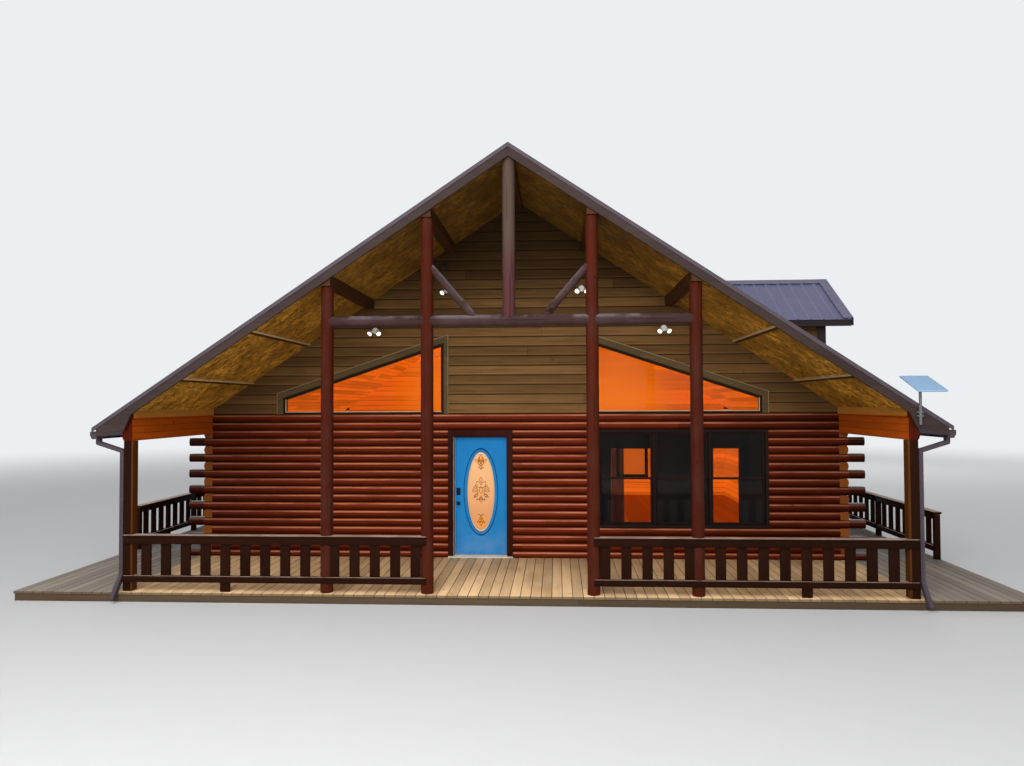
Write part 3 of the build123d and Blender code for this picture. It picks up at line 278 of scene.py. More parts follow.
class Finish(Nodes):
    """One material, with its Principled surface."""

    def __init__(self, name, roughness=0.5, gloss=0.06, **constants):
        self.material = bpy.data.materials.new(name)
        self.material.use_nodes = True
        super().__init__(self.material.node_tree)
        self.surface = self.node("ShaderNodeBsdfPrincipled")
        self.output = self.node("ShaderNodeOutputMaterial", sockets={0: self.surface})
        self.set("Roughness", roughness)
        self.set("Specular IOR Level", gloss)
        for socket, value in constants.items():
            self.set(socket.replace("_", " ").title().replace("Ior", "IOR"), value)
        self.place = self.node("ShaderNodeTexCoord", output="Object")
        self.facing = self.split(self.place.part("Normal"))
        self.axes = self.split(self.place)

    def set(self, name, value):
        """Link or set a socket of the surface."""
        self.feed(self.surface.socket.node.inputs[name], value)

    def done(self, colour, rough=None, relief=None, depth=0.0014):
        """Set what varies over the surface, and give the material."""
        self.set("Base Color", colour)
        if rough is not None:
            self.set("Roughness", rough)
        if relief is not None:
            self.bump(relief, depth)
        return self.material

    def split(self, vector):
        first = self.node("ShaderNodeSeparateXYZ", sockets={0: vector})
        return [first, first.part("Y"), first.part("Z")]

    def vector(self, x, y, z=0.0):
        return self.node("ShaderNodeCombineXYZ", sockets={0: x, 1: y, 2: z})

    def noise(self, vector, scale=1.0, detail=3.0, roughness=0.55):
        """Smooth noise from 0 to 1."""
        return self.node("ShaderNodeTexNoise", sockets={
            "Vector": vector, "Scale": scale, "Detail": detail, "Roughness": roughness})

    def chance(self, first, second=0.0):
        """A random number from 0 to 1 for each pair of whole numbers."""
        return self.node("ShaderNodeTexWhiteNoise", {"noise_dimensions": "2D"},
                         {"Vector": self.vector(first, second)})

    def cells(self, vector):
        """Cell pattern."""
        return self.node("ShaderNodeTexVoronoi", sockets={"Vector": vector, "Scale": 1.0})

    def random_colour(self, cell):
        """The random numbers of each cell, from 0 to 1."""
        return self.node("ShaderNodeSeparateColor", sockets={0: cell.part("Color")})

    def smooth(self, value, low, high):
        """0 below low, 1 above high, smooth between."""
        return self.node("ShaderNodeMapRange", {"interpolation_type": "SMOOTHSTEP"},
                         {"Value": value, "From Min": low, "From Max": high})

    def fade(self, value, low, high):
        """1 below low, 0 above high, smooth between."""
        return 1.0 - self.smooth(value, low, high)

    def band(self, value, rise, fall):
        """1 between a soft rise and a soft fall, 0 outside them."""
        return self.smooth(value, *rise) * self.fade(value, *fall)

    def spots(self, scale, detail, low, high):
        """1 where smooth noise over the piece is high, 0 where it is low."""
        return self.smooth(self.noise(self.place, scale, detail), low, high)

    def span(self, value, low, high):
        """A value from 0 to 1 brought to a range."""
        return self.node("ShaderNodeMapRange", sockets={"Value": value, "To Min": low, "To Max": high})

    def mix(self, factor, first, second):
        """A colour between two colours."""
        return self.node("ShaderNodeMix", {"data_type": "RGBA"}, {0: factor, 6: first, 7: second}, output=2)

    def shade(self, colour, factor):
        """A colour made darker or lighter."""
        return self.node("ShaderNodeVectorMath", {"operation": "SCALE"}, {0: colour, "Scale": factor})

    def distance(self, first, second, stretch=(1.0, 1.0, 1.0)):
        """Length between two points, undoing a stretch."""
        apart = self.node("ShaderNodeVectorMath", {"operation": "SUBTRACT"}, {0: first, 1: second})
        real = self.node("ShaderNodeVectorMath", {"operation": "MULTIPLY"}, {0: apart, 1: stretch})
        return self.node("ShaderNodeVectorMath", {"operation": "LENGTH"}, {0: real}, output="Value")

    def radius(self, x, y):
        """Distance of a flat point from nought."""
        return self.distance(self.vector(x, y), (0.0, 0.0, 0.0))

    def bump(self, height, depth, strength=1.0):
        """Small relief."""
        self.set("Normal", self.node("ShaderNodeBump", sockets={
            "Height": height, "Distance": depth, "Strength": strength}))


def toned(colour, factor):
    """A plain colour made darker or lighter."""
    return tuple(min(1.0, part * factor) for part in colour)


def tinted(colour, other, share):
    """A plain colour part of the way to another."""
    return tuple(a + (b - a) * share for a, b in zip(colour, other))


class Boards:
    """Grain, knots, tone and seams of boards or logs laid side by side."""

    def __init__(self, finish, along, across, pitch, start=0.0, length=3.7, knots=0.5, seed=0.0):
        self.finish = finish
        axes = finish.axes
        course = (axes[across] - start) / pitch
        self.number = course.whole() + seed
        first = finish.chance(self.number)
        run = axes[along] / length + first * 7.0
        self.tone = finish.chance(self.number, run.whole() + 3.0)
        self.edge = course.rest().least(1.0 - course.rest()) * pitch
        self.seam = finish.fade(self.edge, 0.0012, 0.005)
        butt = run.rest().least(1.0 - run.rest()) * length
        self.butt = finish.fade(butt, 0.0008, 0.003)
        self.streaks = self.stretched(along, 1.1, 17.0, detail=4.0)
        self.lines = self.stretched(along, 2.5, 110.0, detail=2.0)
        self.knots, self.halo = self.knotted(along, knots)

    def grain(self, streaks=0.5, lines=0.5):
        """Relief of the broad streaks and the fine lines."""
        return self.streaks * streaks + self.lines * lines

    def stretched(self, along, long_scale, cross_scale, detail):
        """Noise drawn out along the grain."""
        parts = [axis * cross_scale for axis in self.finish.axes]
        parts[along] = self.finish.axes[along] * long_scale + self.tone * 43.0
        return self.finish.noise(self.finish.vector(*parts), detail=detail, roughness=0.6)

    def knotted(self, along, share):
        """Knots, and the darker wood round them."""
        scales = [6.0, 6.0, 6.0]
        scales[along] = 1.6
        parts = [axis * scale for axis, scale in zip(self.finish.axes, scales)]
        parts[along] = parts[along] + self.tone * 29.0
        where = self.finish.vector(*parts)
        cell = self.finish.cells(where)
        away = self.finish.distance(cell.part("Position"), where, tuple(1 / scale for scale in scales))
        pick = self.finish.random_colour(cell)
        chosen = pick < share
        size = self.finish.span(pick.part("Green"), 0.008, 0.02)
        ring = away / size
        core = self.finish.fade(ring, 0.5, 1.0) * chosen
        halo = self.finish.fade(ring, 0.8, 2.6) * chosen
        return core, halo


def wood_colour(finish, boards, colour, spread=0.5, contrast=0.5):
    """A stain over grain: streaks, a tone for each board, and knots."""
    dark = toned(colour, 1.0 - contrast)
    light = toned(colour, 1.0 + contrast * 0.75)
    base = finish.mix(boards.grain(0.75, 0.25), dark, light)
    base = finish.shade(base, finish.span(boards.tone, 1.0 - spread / 2, 1.0 + spread / 2))
    base = finish.mix(boards.halo * 0.5, base, toned(colour, 0.45))
    return finish.mix(boards.knots * 0.85, base, toned(colour, 0.16))


def indoors(finish, extra=0.0):
    """1 on the faces inside the rooms."""
    x, y, z = finish.axes
    across = abs(x) < inner_half + 0.004 + extra
    front = y > wall_face + 0.12
    back = y < back_face - 0.12
    return across * front * back


def glowing(finish, mask, colour, pine):
    """Pine under a mask, glowing a little as a lit room does, and another colour elsewhere."""
    finish.set("Emission Color", finish.mix(mask, NO_LIGHT, pine))
    finish.set("Emission Strength", sizes().indoor_glow)
    return finish.mix(mask, colour, pine)


def pine_inside(finish, mask, colour, along, start):
    """Warm pine boards under a mask, with a painted pool of lamp light high up in the rooms."""
    boards = Boards(finish, along, Z, log_height, start, knots=0.55, seed=11.0)
    pine = wood_colour(finish, boards, colours().pine, 0.55, 0.5)
    pine = finish.mix(finish.fade(boards.edge, 0.002, 0.016) * 0.55, pine, toned(colours().pine, 0.3))
    # Painted pool of lamp light on the pine high up in the rooms.
    away = finish.distance(finish.vector(abs(finish.axes[X]), finish.axes[Z]), (2.4, 3.0, 0.0))
    pine = finish.mix(finish.fade(away, 0.2, 2.3) * 0.55, pine, (1.0, 0.36, 0.016))
    return glowing(finish, mask, colour, pine)


def logs(name, along, mid_distance):
    """Glossy stained logs: a tone for each log, dark joints, orange end grain with rings, painted shade low
    and a painted highlight along the top of each log, and painted shade towards the wall ends and on the
    tails.
    """
    finish = Finish(name, gloss=0.07)
    boards = Boards(finish, along, Z, log_height, log_base, length=4.3, knots=0.6)
    stain = colours().log_stain
    colour = wood_colour(finish, boards, stain, 0.45, 0.45)
    height = ((finish.axes[Z] - log_base) / log_height).rest()
    joint = finish.fade(boards.edge, 0.002, 0.014)
    colour = finish.mix(joint * 0.75, colour, toned(stain, 0.12))
    worn = finish.spots(2.3, 4.0, 0.55, 0.8)
    colour = finish.mix(worn * 0.25, colour, toned(stain, 1.9))
    # Painted shade on the lower half of each log and painted light on its upper half.
    colour = finish.shade(colour, 1.30 - finish.fade(height, 0.15, 0.62) * 0.78)
    # Painted highlight along each log's top, broken up along the grain.
    top_highlight = finish.band(height, (0.66, 0.76), (0.82, 0.92))
    highlight_breaks = finish.smooth(boards.streaks, 0.34, 0.60)
    colour = finish.mix(top_highlight * (highlight_breaks * 0.50 + 0.25), colour, (0.60, 0.235, 0.125))
    if along == X:
        # Painted shade growing towards the ends of the front and back walls.
        aside_shade = finish.smooth(abs(finish.axes[X]), 2.4, 5.0)
        colour = finish.shade(colour, 1.0 - aside_shade * 0.42)
        # Painted shade on the log tails past the corners, and a painted highlight on their upper faces.
        past = finish.smooth(abs(finish.axes[X]), house_half, house_half + 0.01)
        colour = finish.shade(colour, 1.0 - past * 0.5)
        tail_top_highlight = past * finish.smooth(finish.facing[Z], 0.3, 0.8)
        colour = finish.mix(tail_top_highlight * 0.5, colour, (0.20, 0.17, 0.17))
    offset = finish.axes[Y] - middle_y if along == X else finish.axes[X]
    side = abs(offset) - mid_distance
    up = (height - 0.5) * log_height
    radius = finish.radius(side, up)
    wobble = finish.noise(finish.place, 14.0, 2.0)
    rings = (radius * 1150.0 + wobble * 9.0).wave()
    end = finish.mix(rings * 0.25 + 0.45, (0.10, 0.026, 0.005), (0.30, 0.085, 0.014))
    end = finish.shade(end, finish.span(boards.tone, 0.75, 1.15))
    cracks = finish.noise(finish.vector(side * 9.0, up * 9.0, boards.number), 3.0, 1.0)
    end = finish.mix(finish.smooth(cracks, 0.60, 0.64) * 0.5, end, (0.06, 0.02, 0.01))
    colour = finish.mix(abs(finish.facing[along]) > 0.8, colour, end)
    wall_head = indoors(finish, log_thickness) * (finish.axes[Z] > wall_top - 0.004)
    colour = pine_inside(finish, indoors(finish).most(wall_head), colour, along, log_base)
    return finish.done(colour, finish.span(boards.streaks, 0.26, 0.42),
                       boards.grain(0.5, 0.4) - boards.knots * 0.3 - boards.butt, 0.0016)


def siding(name, along, start, deep=0.0):
    """Stained lap boards with dark joints, a painted highlight on each lip, painted shade towards the peak
    and the far sides, and pine on their indoor side.
    """
    finish = Finish(name)
    boards = Boards(finish, along, Z, siding_pitch, start, length=14.0, knots=0.6, seed=5.0)
    stain = colours().siding_stain
    colour = wood_colour(finish, boards, stain, 0.75, 0.85)
    low_edge = ((finish.axes[Z] - start) / siding_pitch).rest()
    colour = finish.mix(finish.fade(low_edge, 0.05, 0.13) * 0.88, colour, toned(stain, 0.08))
    # Painted highlight on each board's lip.
    lip_highlight = finish.band(low_edge, (0.13, 0.16), (0.20, 0.28))
    colour = finish.mix(lip_highlight * 0.35, colour, toned(stain, 1.9))
    damp = finish.spots(1.1, 4.0, 0.45, 0.75)
    colour = finish.mix(damp * 0.35, colour, toned(stain, 0.55))
    # Painted shade towards the peak, and towards the far sides of boards that run along X.
    high = finish.smooth(finish.axes[Z], wall_top + 1.5, wall_top + 2.9)
    far_out_shade = finish.smooth(abs(finish.axes[along]), 3.4, 5.0) if along == X else high
    colour = finish.mix(high * 0.84, colour, toned(stain, 0.08))
    colour = finish.mix(far_out_shade * 0.50, colour, toned(stain, 0.25))
    colour = finish.mix(boards.butt, colour, toned(stain, 0.15))
    colour = pine_inside(finish, indoors(finish, deep), colour, along, start)
    return finish.done(colour, finish.span(boards.streaks, 0.42, 0.62),
                       boards.grain() - boards.butt)


def sawn(name, along, stain, pitch=0.6, roughness=(0.42, 0.6), spread=0.3, wear=0.0, knots=0.3, start=0.0,
         contrast=0.45):
    """Sawn and stained timber with grain along one axis, worn pale where it is touched."""
    finish = Finish(name)
    boards = Boards(finish, along, CROSSWAYS[along], pitch, start, length=5.0, knots=knots, seed=2.0)
    colour = wood_colour(finish, boards, stain, spread, contrast)
    if wear:
        rubbed = finish.spots(3.1, 5.0, 0.38, 0.72)
        top = finish.smooth(finish.facing[Z], 0.25, 0.7)
        colour = finish.mix((rubbed * 0.4 + 0.6) * top * wear, colour, (0.55, 0.39, 0.29))
    return finish.done(colour, finish.span(boards.streaks, *roughness),
                       boards.grain() - boards.knots * 0.3)


def gable_casing_wood(name):
    """Casing boards of the gable windows, with painted shade nearly black in the rebate along the glass."""
    finish = Finish(name)
    boards = Boards(finish, X, Z, 0.5, 0.1, length=6.0, knots=0.2, seed=3.0)
    colour = wood_colour(finish, boards, (0.100, 0.066, 0.030), 0.3, 0.45)
    x = abs(finish.axes[X])
    above = (finish.axes[Z] - (pane_top - (x - pane_inner) / 3)) * 0.95
    outward = (pane_inner - x).most(x - pane_outer).most(above).most(pane_low - finish.axes[Z])
    # Painted shade in the rebate along the glass; the same mask sinks the relief there.
    shaded_rebate = finish.fade(outward, 0.034, 0.042)
    return finish.done(finish.mix(shaded_rebate * 0.95, colour, (0.012, 0.008, 0.006)),
                       finish.span(boards.streaks, 0.4, 0.6),
                       boards.grain() - shaded_rebate)


def gable_stop_wood(name):
    """Glass stops: a painted highlight below and at the low end, painted shade under the slope."""
    finish = Finish(name, roughness=0.5)
    # Painted highlight on the stops along the sill and at the low end; painted shade, nearly black, on the
    # stop under the slope.
    low = finish.fade(finish.axes[Z], pane_low + 0.014, pane_low + 0.018)
    end = finish.smooth(abs(finish.axes[X]), pane_outer - 0.018, pane_outer - 0.014)
    worn = finish.noise(finish.place, 24.0, 3.0)
    pale = finish.mix(worn, (0.40, 0.30, 0.18), (0.60, 0.48, 0.33))
    return finish.done(finish.mix(low.most(end), (0.016, 0.010, 0.007), pale))


def round_log(name, along, stain, paler):
    """A peeled and stained round log: long streaks, knots and a few drying cracks."""
    finish = Finish(name, gloss=0.08)
    boards = Boards(finish, along, CROSSWAYS[along], 0.7, 0.2, length=9.0, knots=0.75, seed=8.0)
    colour = wood_colour(finish, boards, stain, 0.35, 0.5)
    blotch = finish.spots(2.0, 4.0, 0.42, 0.7)
    colour = finish.mix(blotch * 0.45, colour, paler)
    if along == Z:
        king = finish.fade(abs(finish.axes[X]), 0.2, 0.3)
        high = finish.smooth(finish.axes[Z], 4.5, 5.3)
        greyed = finish.mix(high, (0.080, 0.032, 0.034), (0.085, 0.062, 0.048))
        colour = finish.mix(king * 0.8, colour, greyed)
    else:
        # Weathered grey with a painted highlight on the upper face of level logs.
        top = finish.smooth(finish.facing[Z], 0.1, 0.8)
        silvered_and_highlit = top * finish.smooth(blotch + boards.streaks, 0.4, 1.1)
        colour = finish.mix(silvered_and_highlit * 0.6, colour, (0.20, 0.165, 0.19))
    parts = [axis * 30.0 for axis in finish.axes]
    parts[along] = finish.axes[along] * 0.7
    crack = finish.smooth(finish.noise(finish.vector(*parts), 1.0, 1.0), 0.66, 0.69)
    colour = finish.mix(crack * 0.55, colour, toned(stain, 0.25))
    return finish.done(colour, finish.span(boards.streaks, 0.34, 0.55),
                       boards.grain(0.6, 0.3) - crack - boards.knots * 0.4, 0.0022)


def decking(name, colour, stain, pitch, start, roofed=False):
    """Deck boards: a tone for each, stains, nail heads, painted shade on their upright edges, and grey past
    the eaves if roofed.
    """
    finish = Finish(name)
    boards = Boards(finish, Y, X, pitch, start, length=30.0, knots=0.5, seed=4.0)
    base = wood_colour(finish, boards, colour, 0.38, 0.3)
    blotch = finish.smooth(finish.noise(finish.vector(finish.axes[X] * 1.6, finish.axes[Y] * 0.8), 1.0, 5.0),
                           0.46, 0.68)
    base = finish.mix(blotch * 0.40, base, stain)
    if roofed:
        rained = finish.smooth(abs(finish.axes[X]), rain_line - 0.12, rain_line + 0.06)
        base = finish.mix(rained * 0.9, base, wood_colour(finish, boards, colours().deck_grey, 0.4, 0.35))
    across = ((finish.axes[X] - start) / pitch).rest()
    nail_spacing = 0.4
    nail_x = (abs(across - 0.5) - 0.30) * pitch
    nail_y = ((finish.axes[Y] / nail_spacing).rest() - 0.5) * nail_spacing
    nail = finish.fade(finish.radius(nail_x, nail_y), 0.003, 0.0055)
    base = finish.mix(nail * 0.8, base, (0.07, 0.05, 0.04))
    # Painted shade on the boards' upright edges and ends.
    upright = finish.fade(finish.facing[Z], 0.2, 0.8)
    base = finish.mix(upright * 0.85, base, toned(colour, 0.12))
    return finish.done(base, finish.span(boards.streaks, 0.55, 0.8),
                       boards.grain(0.5, 0.6) - nail, 0.0016)


def flake_board(name):
    """Pressed flake board: overlapping flakes of many tones, stains, painted shade towards the peak, and
    battens with a painted highlight on one side and a painted shadow on the other.
    """
    finish = Finish(name)
    tone = colours().flake
    bend = finish.noise(finish.place, 6.0, 2.0) * 3.0
    x, y, z = finish.axes
    run = finish.vector(x * 22.0 + bend, y * 9.0 + bend, z * 22.0)
    cross = finish.vector(x * 9.0 - bend, y * 24.0 + bend, z * 12.0)
    first = finish.random_colour(finish.cells(run))
    second = finish.random_colour(finish.cells(cross))
    pick = finish.spots(9.0, 2.0, 0.46, 0.54)
    flakes = first * (1.0 - pick) + second * pick
    colour = finish.mix(flakes, toned(tone, 0.50), toned(tone, 1.60))
    dark = finish.smooth(second.part("Green"), 0.74, 0.86)
    colour = finish.mix(dark * 0.7, colour, toned(tone, 0.22))
    clouds = finish.spots(1.3, 4.0, 0.42, 0.62)
    colour = finish.mix(clouds * 0.55, colour, toned(tone, 0.30))
    # Painted shade darkening the boarding towards the peak.
    high = finish.smooth(z, wall_top + 1.2, wall_top + 3.0)
    colour = finish.mix(high * 0.70, colour, (0.045, 0.020, 0.009))
    sheet = 1.219 * math.cos(slope_angle)
    first_batten = header_inner - 0.7
    step = (first_batten - abs(x)) / sheet + 0.5
    across = (0.5 - step.rest()) * sheet
    whole = (abs(x) > first_batten - sheet * 1.5) * (abs(x) < first_batten + 0.04)
    # Painted highlight on the battens' upper half and painted shadow on their lower half.
    batten_highlight = finish.band(across, (-0.036, -0.033), (-0.006, -0.003))
    batten_shadow = finish.band(across, (-0.006, -0.003), (0.034, 0.044))
    colour = finish.mix(batten_highlight * whole, colour, (0.60, 0.44, 0.24))
    colour = finish.mix(batten_shadow * whole * 0.9, colour, (0.030, 0.016, 0.008))
    return finish.done(colour, finish.span(flakes, 0.4, 0.6), flakes, 0.0016)


def painted(name, paint, roughness=0.42, metallic=0.0, grime=0.35, streak_axis=None):
    """Paint on metal or wood: faint mottling, dust, and water streaks down one axis."""
    finish = Finish(name, metallic=metallic)
    parts = [axis * 5.0 for axis in finish.axes]
    if streak_axis is not None:
        parts = [axis * 22.0 for axis in finish.axes]
        parts[streak_axis] = finish.axes[streak_axis] * 1.2
    streaks = finish.noise(finish.vector(*parts), 1.0, 4.0)
    fine = finish.noise(finish.place, 60.0, 2.0)
    colour = finish.mix(streaks, toned(paint, 1.0 - grime), toned(paint, 1.0 + grime))
    colour = finish.mix(finish.smooth(fine, 0.55, 0.8) * 0.12, colour, (0.4, 0.38, 0.36))
    return finish.done(colour, finish.span(streaks, roughness - 0.08, roughness + 0.1), fine, 0.0004)


def roof_metal(name, across, room_start, room_end):
    """Satin roof paint with dust in the flats, a painted highlight on the ribs, and glowing pine boards on
    the ceiling side.
    """
    finish = Finish(name, metallic=0.15)
    paint = colours().roof_paint
    x, y, z = finish.axes
    streaks = finish.noise(finish.vector(x * 1.1, y * 24.0, z * 1.1), 1.0, 4.0)
    patches = finish.noise(finish.place, 1.3, 4.0)
    colour = finish.mix(streaks * 0.6 + patches * 0.4, toned(paint, 0.72), toned(paint, 1.32))
    # Painted highlight on the ribs' sloping sides.
    rib = abs(finish.facing[across])
    rib_highlight = finish.smooth(rib, 0.15, 0.5)
    colour = finish.mix(rib_highlight * 0.35, colour, toned(paint, 1.9))
    boards = Boards(finish, Y, X, ceiling_pitch, knots=0.5, seed=21.0)
    below = (finish.facing[Z] < -0.2) * indoors(finish, log_thickness) * (y > room_start) * (y < room_end)
    pine = wood_colour(finish, boards, colours().pine, 0.6, 0.5)
    pine = finish.mix(finish.fade(boards.edge, 0.002, 0.014) * 0.6, pine, toned(colours().pine, 0.25))
    return finish.done(glowing(finish, below, colour, pine), finish.span(streaks, 0.34, 0.5), patches, 0.0008)


def dormer_edges(name):
    """The dormer's ridge cap and rake edges in roof paint, and its dark eave boards."""
    finish = Finish(name, metallic=0.1)
    paint = toned(colours().roof_paint, 0.9)
    streaks = finish.noise(finish.place, 6.0, 4.0)
    colour = finish.mix(streaks, toned(paint, 0.85), tinted(paint, (0.5, 0.4, 0.5), 0.25))
    board = finish.fade(finish.facing[Z], 0.15, 0.4)
    return finish.done(finish.mix(board, colour, (0.028, 0.022, 0.024)), finish.span(streaks, 0.34, 0.5))


def header_wood(name):
    """The porch's side beams: varnished pine inside, orange with painted lamp light, darker log stain with
    painted shade on the outer faces and front ends, a paler band on top.
    """
    finish = Finish(name)
    boards = Boards(finish, Y, Z, 0.1, header_low.z + 0.01, length=6.0, knots=0.6, seed=9.0)
    # Orange of the inner faces, partly painted lamp light.
    inside = (0.42, 0.080, 0.006)
    colour = wood_colour(finish, boards, inside, 0.35, 0.45)
    colour = finish.mix(boards.seam * 0.7, colour, toned(inside, 0.2))
    band = finish.smooth(finish.axes[Z], header_high.z - 0.125, header_high.z - 0.118)
    pale = Boards(finish, Y, Z, 0.3, 0.0, length=6.0, knots=0.4, seed=10.0)
    colour = finish.mix(band, colour, wood_colour(finish, pale, (0.44, 0.195, 0.034), 0.2, 0.35))
    # Painted shade: a darker log stain on the outer faces and the front ends.
    outer = abs(finish.axes[X]) > house_half - 0.09
    outside = wood_colour(finish, boards, toned(colours().log_stain, 0.55), 0.3, 0.45)
    shaded_front_end = finish.facing[Y] < -0.5
    return finish.done(finish.mix(outer.most(shaded_front_end), colour, outside),
                       finish.span(boards.streaks, 0.34, 0.52),
                       boards.grain(0.6, 0.3) - boards.seam * (1.0 - outer), 0.0018)


def corner_post_wood(name):
    """The porch's square corner posts: dark stain, with painted warm light on the side that faces the porch.
    """
    finish = Finish(name)
    boards = Boards(finish, Z, X, 0.8, 0.4, length=5.0, knots=0.5, seed=6.0)
    dark = wood_colour(finish, boards, colours().rail_stain, 0.3, 0.45)
    # Painted warm light on the side that faces the porch.
    painted_warm_light = wood_colour(finish, boards, (0.075, 0.024, 0.0045), 0.3, 0.45)
    inward = finish.axes[X] * finish.facing[X] < -0.5
    return finish.done(finish.mix(inward, dark, painted_warm_light), finish.span(boards.streaks, 0.42, 0.6),
                       boards.grain())


def door_paint(name):
    """Smooth blue paint with brush marks, a little dust low down, and painted shade in the grooves round the
    oval.
    """
    finish = Finish(name)
    paint = colours().door_paint
    x, y, z = finish.axes
    brush = finish.noise(finish.vector(x * 90.0, y * 90.0, z * 3.0), 1.0, 2.0)
    cloud = finish.noise(finish.place, 2.2, 3.0)
    colour = finish.mix(cloud, toned(paint, 0.86), toned(paint, 1.12))
    dust = finish.fade(z, leaf_low.z, leaf_low.z + 0.7) * finish.smooth(cloud, 0.3, 0.7)
    colour = finish.mix(dust * 0.25, colour, (0.30, 0.36, 0.42))
    # Painted shade along the grooves round the oval glass and its moulding.
    for grow, wide in ((0.0, 0.012), (0.055, 0.022)):
        line = finish.band(door_oval(finish, grow), (1.0 - wide, 1.0 - wide * 0.5),
                           (1.0 + wide, 1.0 + wide * 1.5))
        colour = finish.mix(line * 0.75, colour, (0.004, 0.030, 0.085))
    return finish.done(colour, finish.span(brush, 0.3, 0.42), brush, 0.0006)


def door_oval(finish, grow=0.0):
    """Place on the door's oval glass, or on an oval round it: 0 at its middle and 1 at its edge."""
    x = (finish.axes[X] - glass_middle.x) / (glass_size.x / 2 + grow)
    z = (finish.axes[Z] - glass_middle.z) / (glass_size.z / 2 + grow)
    return finish.radius(x, z)


def ornament_glass(name):
    """Frosted glass that glows peach, with a clear bevelled border."""
    finish = Finish(name, coat_weight=0.15, coat_roughness=0.08)
    peach = colours().door_glass
    radius = door_oval(finish)
    grain = finish.noise(finish.place, 130.0, 2.0)
    cloud = finish.noise(finish.place, 3.0, 2.0)
    up = finish.smooth(finish.axes[Z], glass_low.z, glass_high.z)
    colour = finish.mix(up, toned(peach, 0.9), tinted(peach, (1.0, 0.62, 0.30), 0.6))
    colour = finish.mix(cloud * 0.3, colour, toned(peach, 0.8))
    for height, strength in ((0.392, 0.75), (-0.378, 0.95), (0.0, 0.25)):
        spot = (glass_middle.x, glass_low.y, glass_middle.z + glass_size.z * height)
        away = finish.distance(finish.place, spot, (1.0, 0.0, 0.75))
        amber = finish.fade(away + cloud * 0.03, 0.045, 0.115)
        colour = finish.mix(amber * strength, colour, (0.84, 0.31, 0.035))
    border = finish.smooth(radius, 0.952, 0.965)
    colour = finish.mix(border * 0.6, colour, (0.80, 0.66, 0.52))
    finish.set("Emission Color", colour)
    finish.set("Emission Strength", 0.12)
    return finish.done(colour, finish.span(border, 0.38, 0.12), grain * (1.0 - border), 0.0008)


def pane_glass(name):
    """Clear glass with lit pine rooms behind it in front; elsewhere dark glass of painted shade for unlit
    rooms, darker where curtains hang, and a painted warm reflection of lit pine on the back panes' inner
    face.
    """
    finish = Finish(name, roughness=0.02, transmission_weight=1.0, ior=1.10)
    x, y, z = finish.axes
    tint = finish.noise(finish.place, 0.8, 1.0)
    finish.set("Base Color", finish.mix(tint, (0.86, 0.88, 0.86), (0.93, 0.95, 0.93)))
    ripple = finish.noise(finish.place, 1.7, 1.0)
    finish.bump(ripple, 0.0012, 0.4)
    # Painted shade: a nearly black sheet for the unlit rooms behind the glass.
    painted_dark_room = finish.mix(ripple, (0.0045, 0.0050, 0.0055), (0.011, 0.011, 0.011))
    # Painted warm reflection of lit pine, glowing, on the inner face of the back panes.
    painted_warm_light = (y > back_face - 0.1) * (finish.facing[Y] < -0.5)
    dark = finish.node("ShaderNodeBsdfPrincipled", sockets={
        "Base Color": finish.mix(painted_warm_light, painted_dark_room, (0.40, 0.090, 0.005)),
        "Roughness": 0.06, "Specular IOR Level": 0.10,
        "Emission Color": finish.mix(painted_warm_light, NO_LIGHT, (0.62, 0.135, 0.006)), "Emission Strength": 0.6})
    # Painted shade over every pane but the front ones, and over the front panes outside the lit spans.
    aside_shade = 1.0 - (y < wall_face + 0.12)
    folds = finish.noise(finish.vector(x * 40.0, 0.0, z * 1.5), 1.0, 2.0)
    lit = pane_between(finish, 1.60, 2.30, folds) + pane_between(finish, 3.27, 3.75, folds)
    shaded = (1.0 - lit) * 0.93 * (1.0 - (z > wall_top))
    curtain = pane_between(finish, 1.60, 1.81, folds) * (folds * 0.3 + 0.55) * (z < wall_top)
    share = aside_shade.most(shaded).most(curtain)
    both = finish.node("ShaderNodeMixShader", sockets={0: share, 1: finish.surface, 2: dark})
    finish.feed(finish.output.inputs[0], both)
    return finish.material


def pane_between(finish, left, right, folds):
    """1 between two places across the front window, under the curtain's head."""
    inside = finish.band(finish.axes[X] + folds * 0.03, (left, left + 0.015), (right, right + 0.015))
    return inside * finish.fade(finish.axes[Z], 2.004, 2.016)


def dark_metal(name, colour, roughness=0.35, metallic=0.7):
    """Metal with a fine brushed grain."""
    finish = Finish(name, metallic=metallic)
    x, y, z = finish.axes
    brush = finish.noise(finish.vector(x * 60.0, y * 60.0, z * 700.0), 1.0, 2.0)
    rubbed = finish.spots(35.0, 3.0, 0.5, 0.75)
    base = finish.mix(brush, toned(colour, 0.8), toned(colour, 1.2))
    return finish.done(finish.mix(rubbed * 0.4, base, toned(colour, 2.2)),
                       finish.span(brush, roughness - 0.08, roughness + 0.12),
                       brush, 0.0002)


def lamp_glass(name):
    """A lit lamp face with a faint prism pattern."""
    finish = Finish(name, roughness=0.25)
    x, y, z = finish.axes
    cells = (x * 420.0).wave() * (z * 420.0).wave()
    colour = finish.mix(cells * 0.5 + 0.5, (1.0, 0.86, 0.62), (1.0, 0.97, 0.90))
    finish.set("Emission Color", colour)
    finish.set("Emission Strength", 1.6)
    return finish.done(colour, relief=cells, depth=0.001)


def concrete(name):
    """Cast concrete: pores, stains and splash near the ground."""
    finish = Finish(name, roughness=0.85)
    patches = finish.noise(finish.place, 1.8, 5.0)
    pores = finish.spots(55.0, 3.0, 0.62, 0.7)
    colour = finish.mix(patches, (0.20, 0.19, 0.18), (0.42, 0.41, 0.39))
    colour = finish.mix(pores * 0.5, colour, (0.09, 0.085, 0.08))
    low = finish.fade(finish.axes[Z], 0.0, 0.09)
    return finish.done(finish.mix(low * 0.5, colour, (0.12, 0.09, 0.06)), relief=patches - pores, depth=0.004)


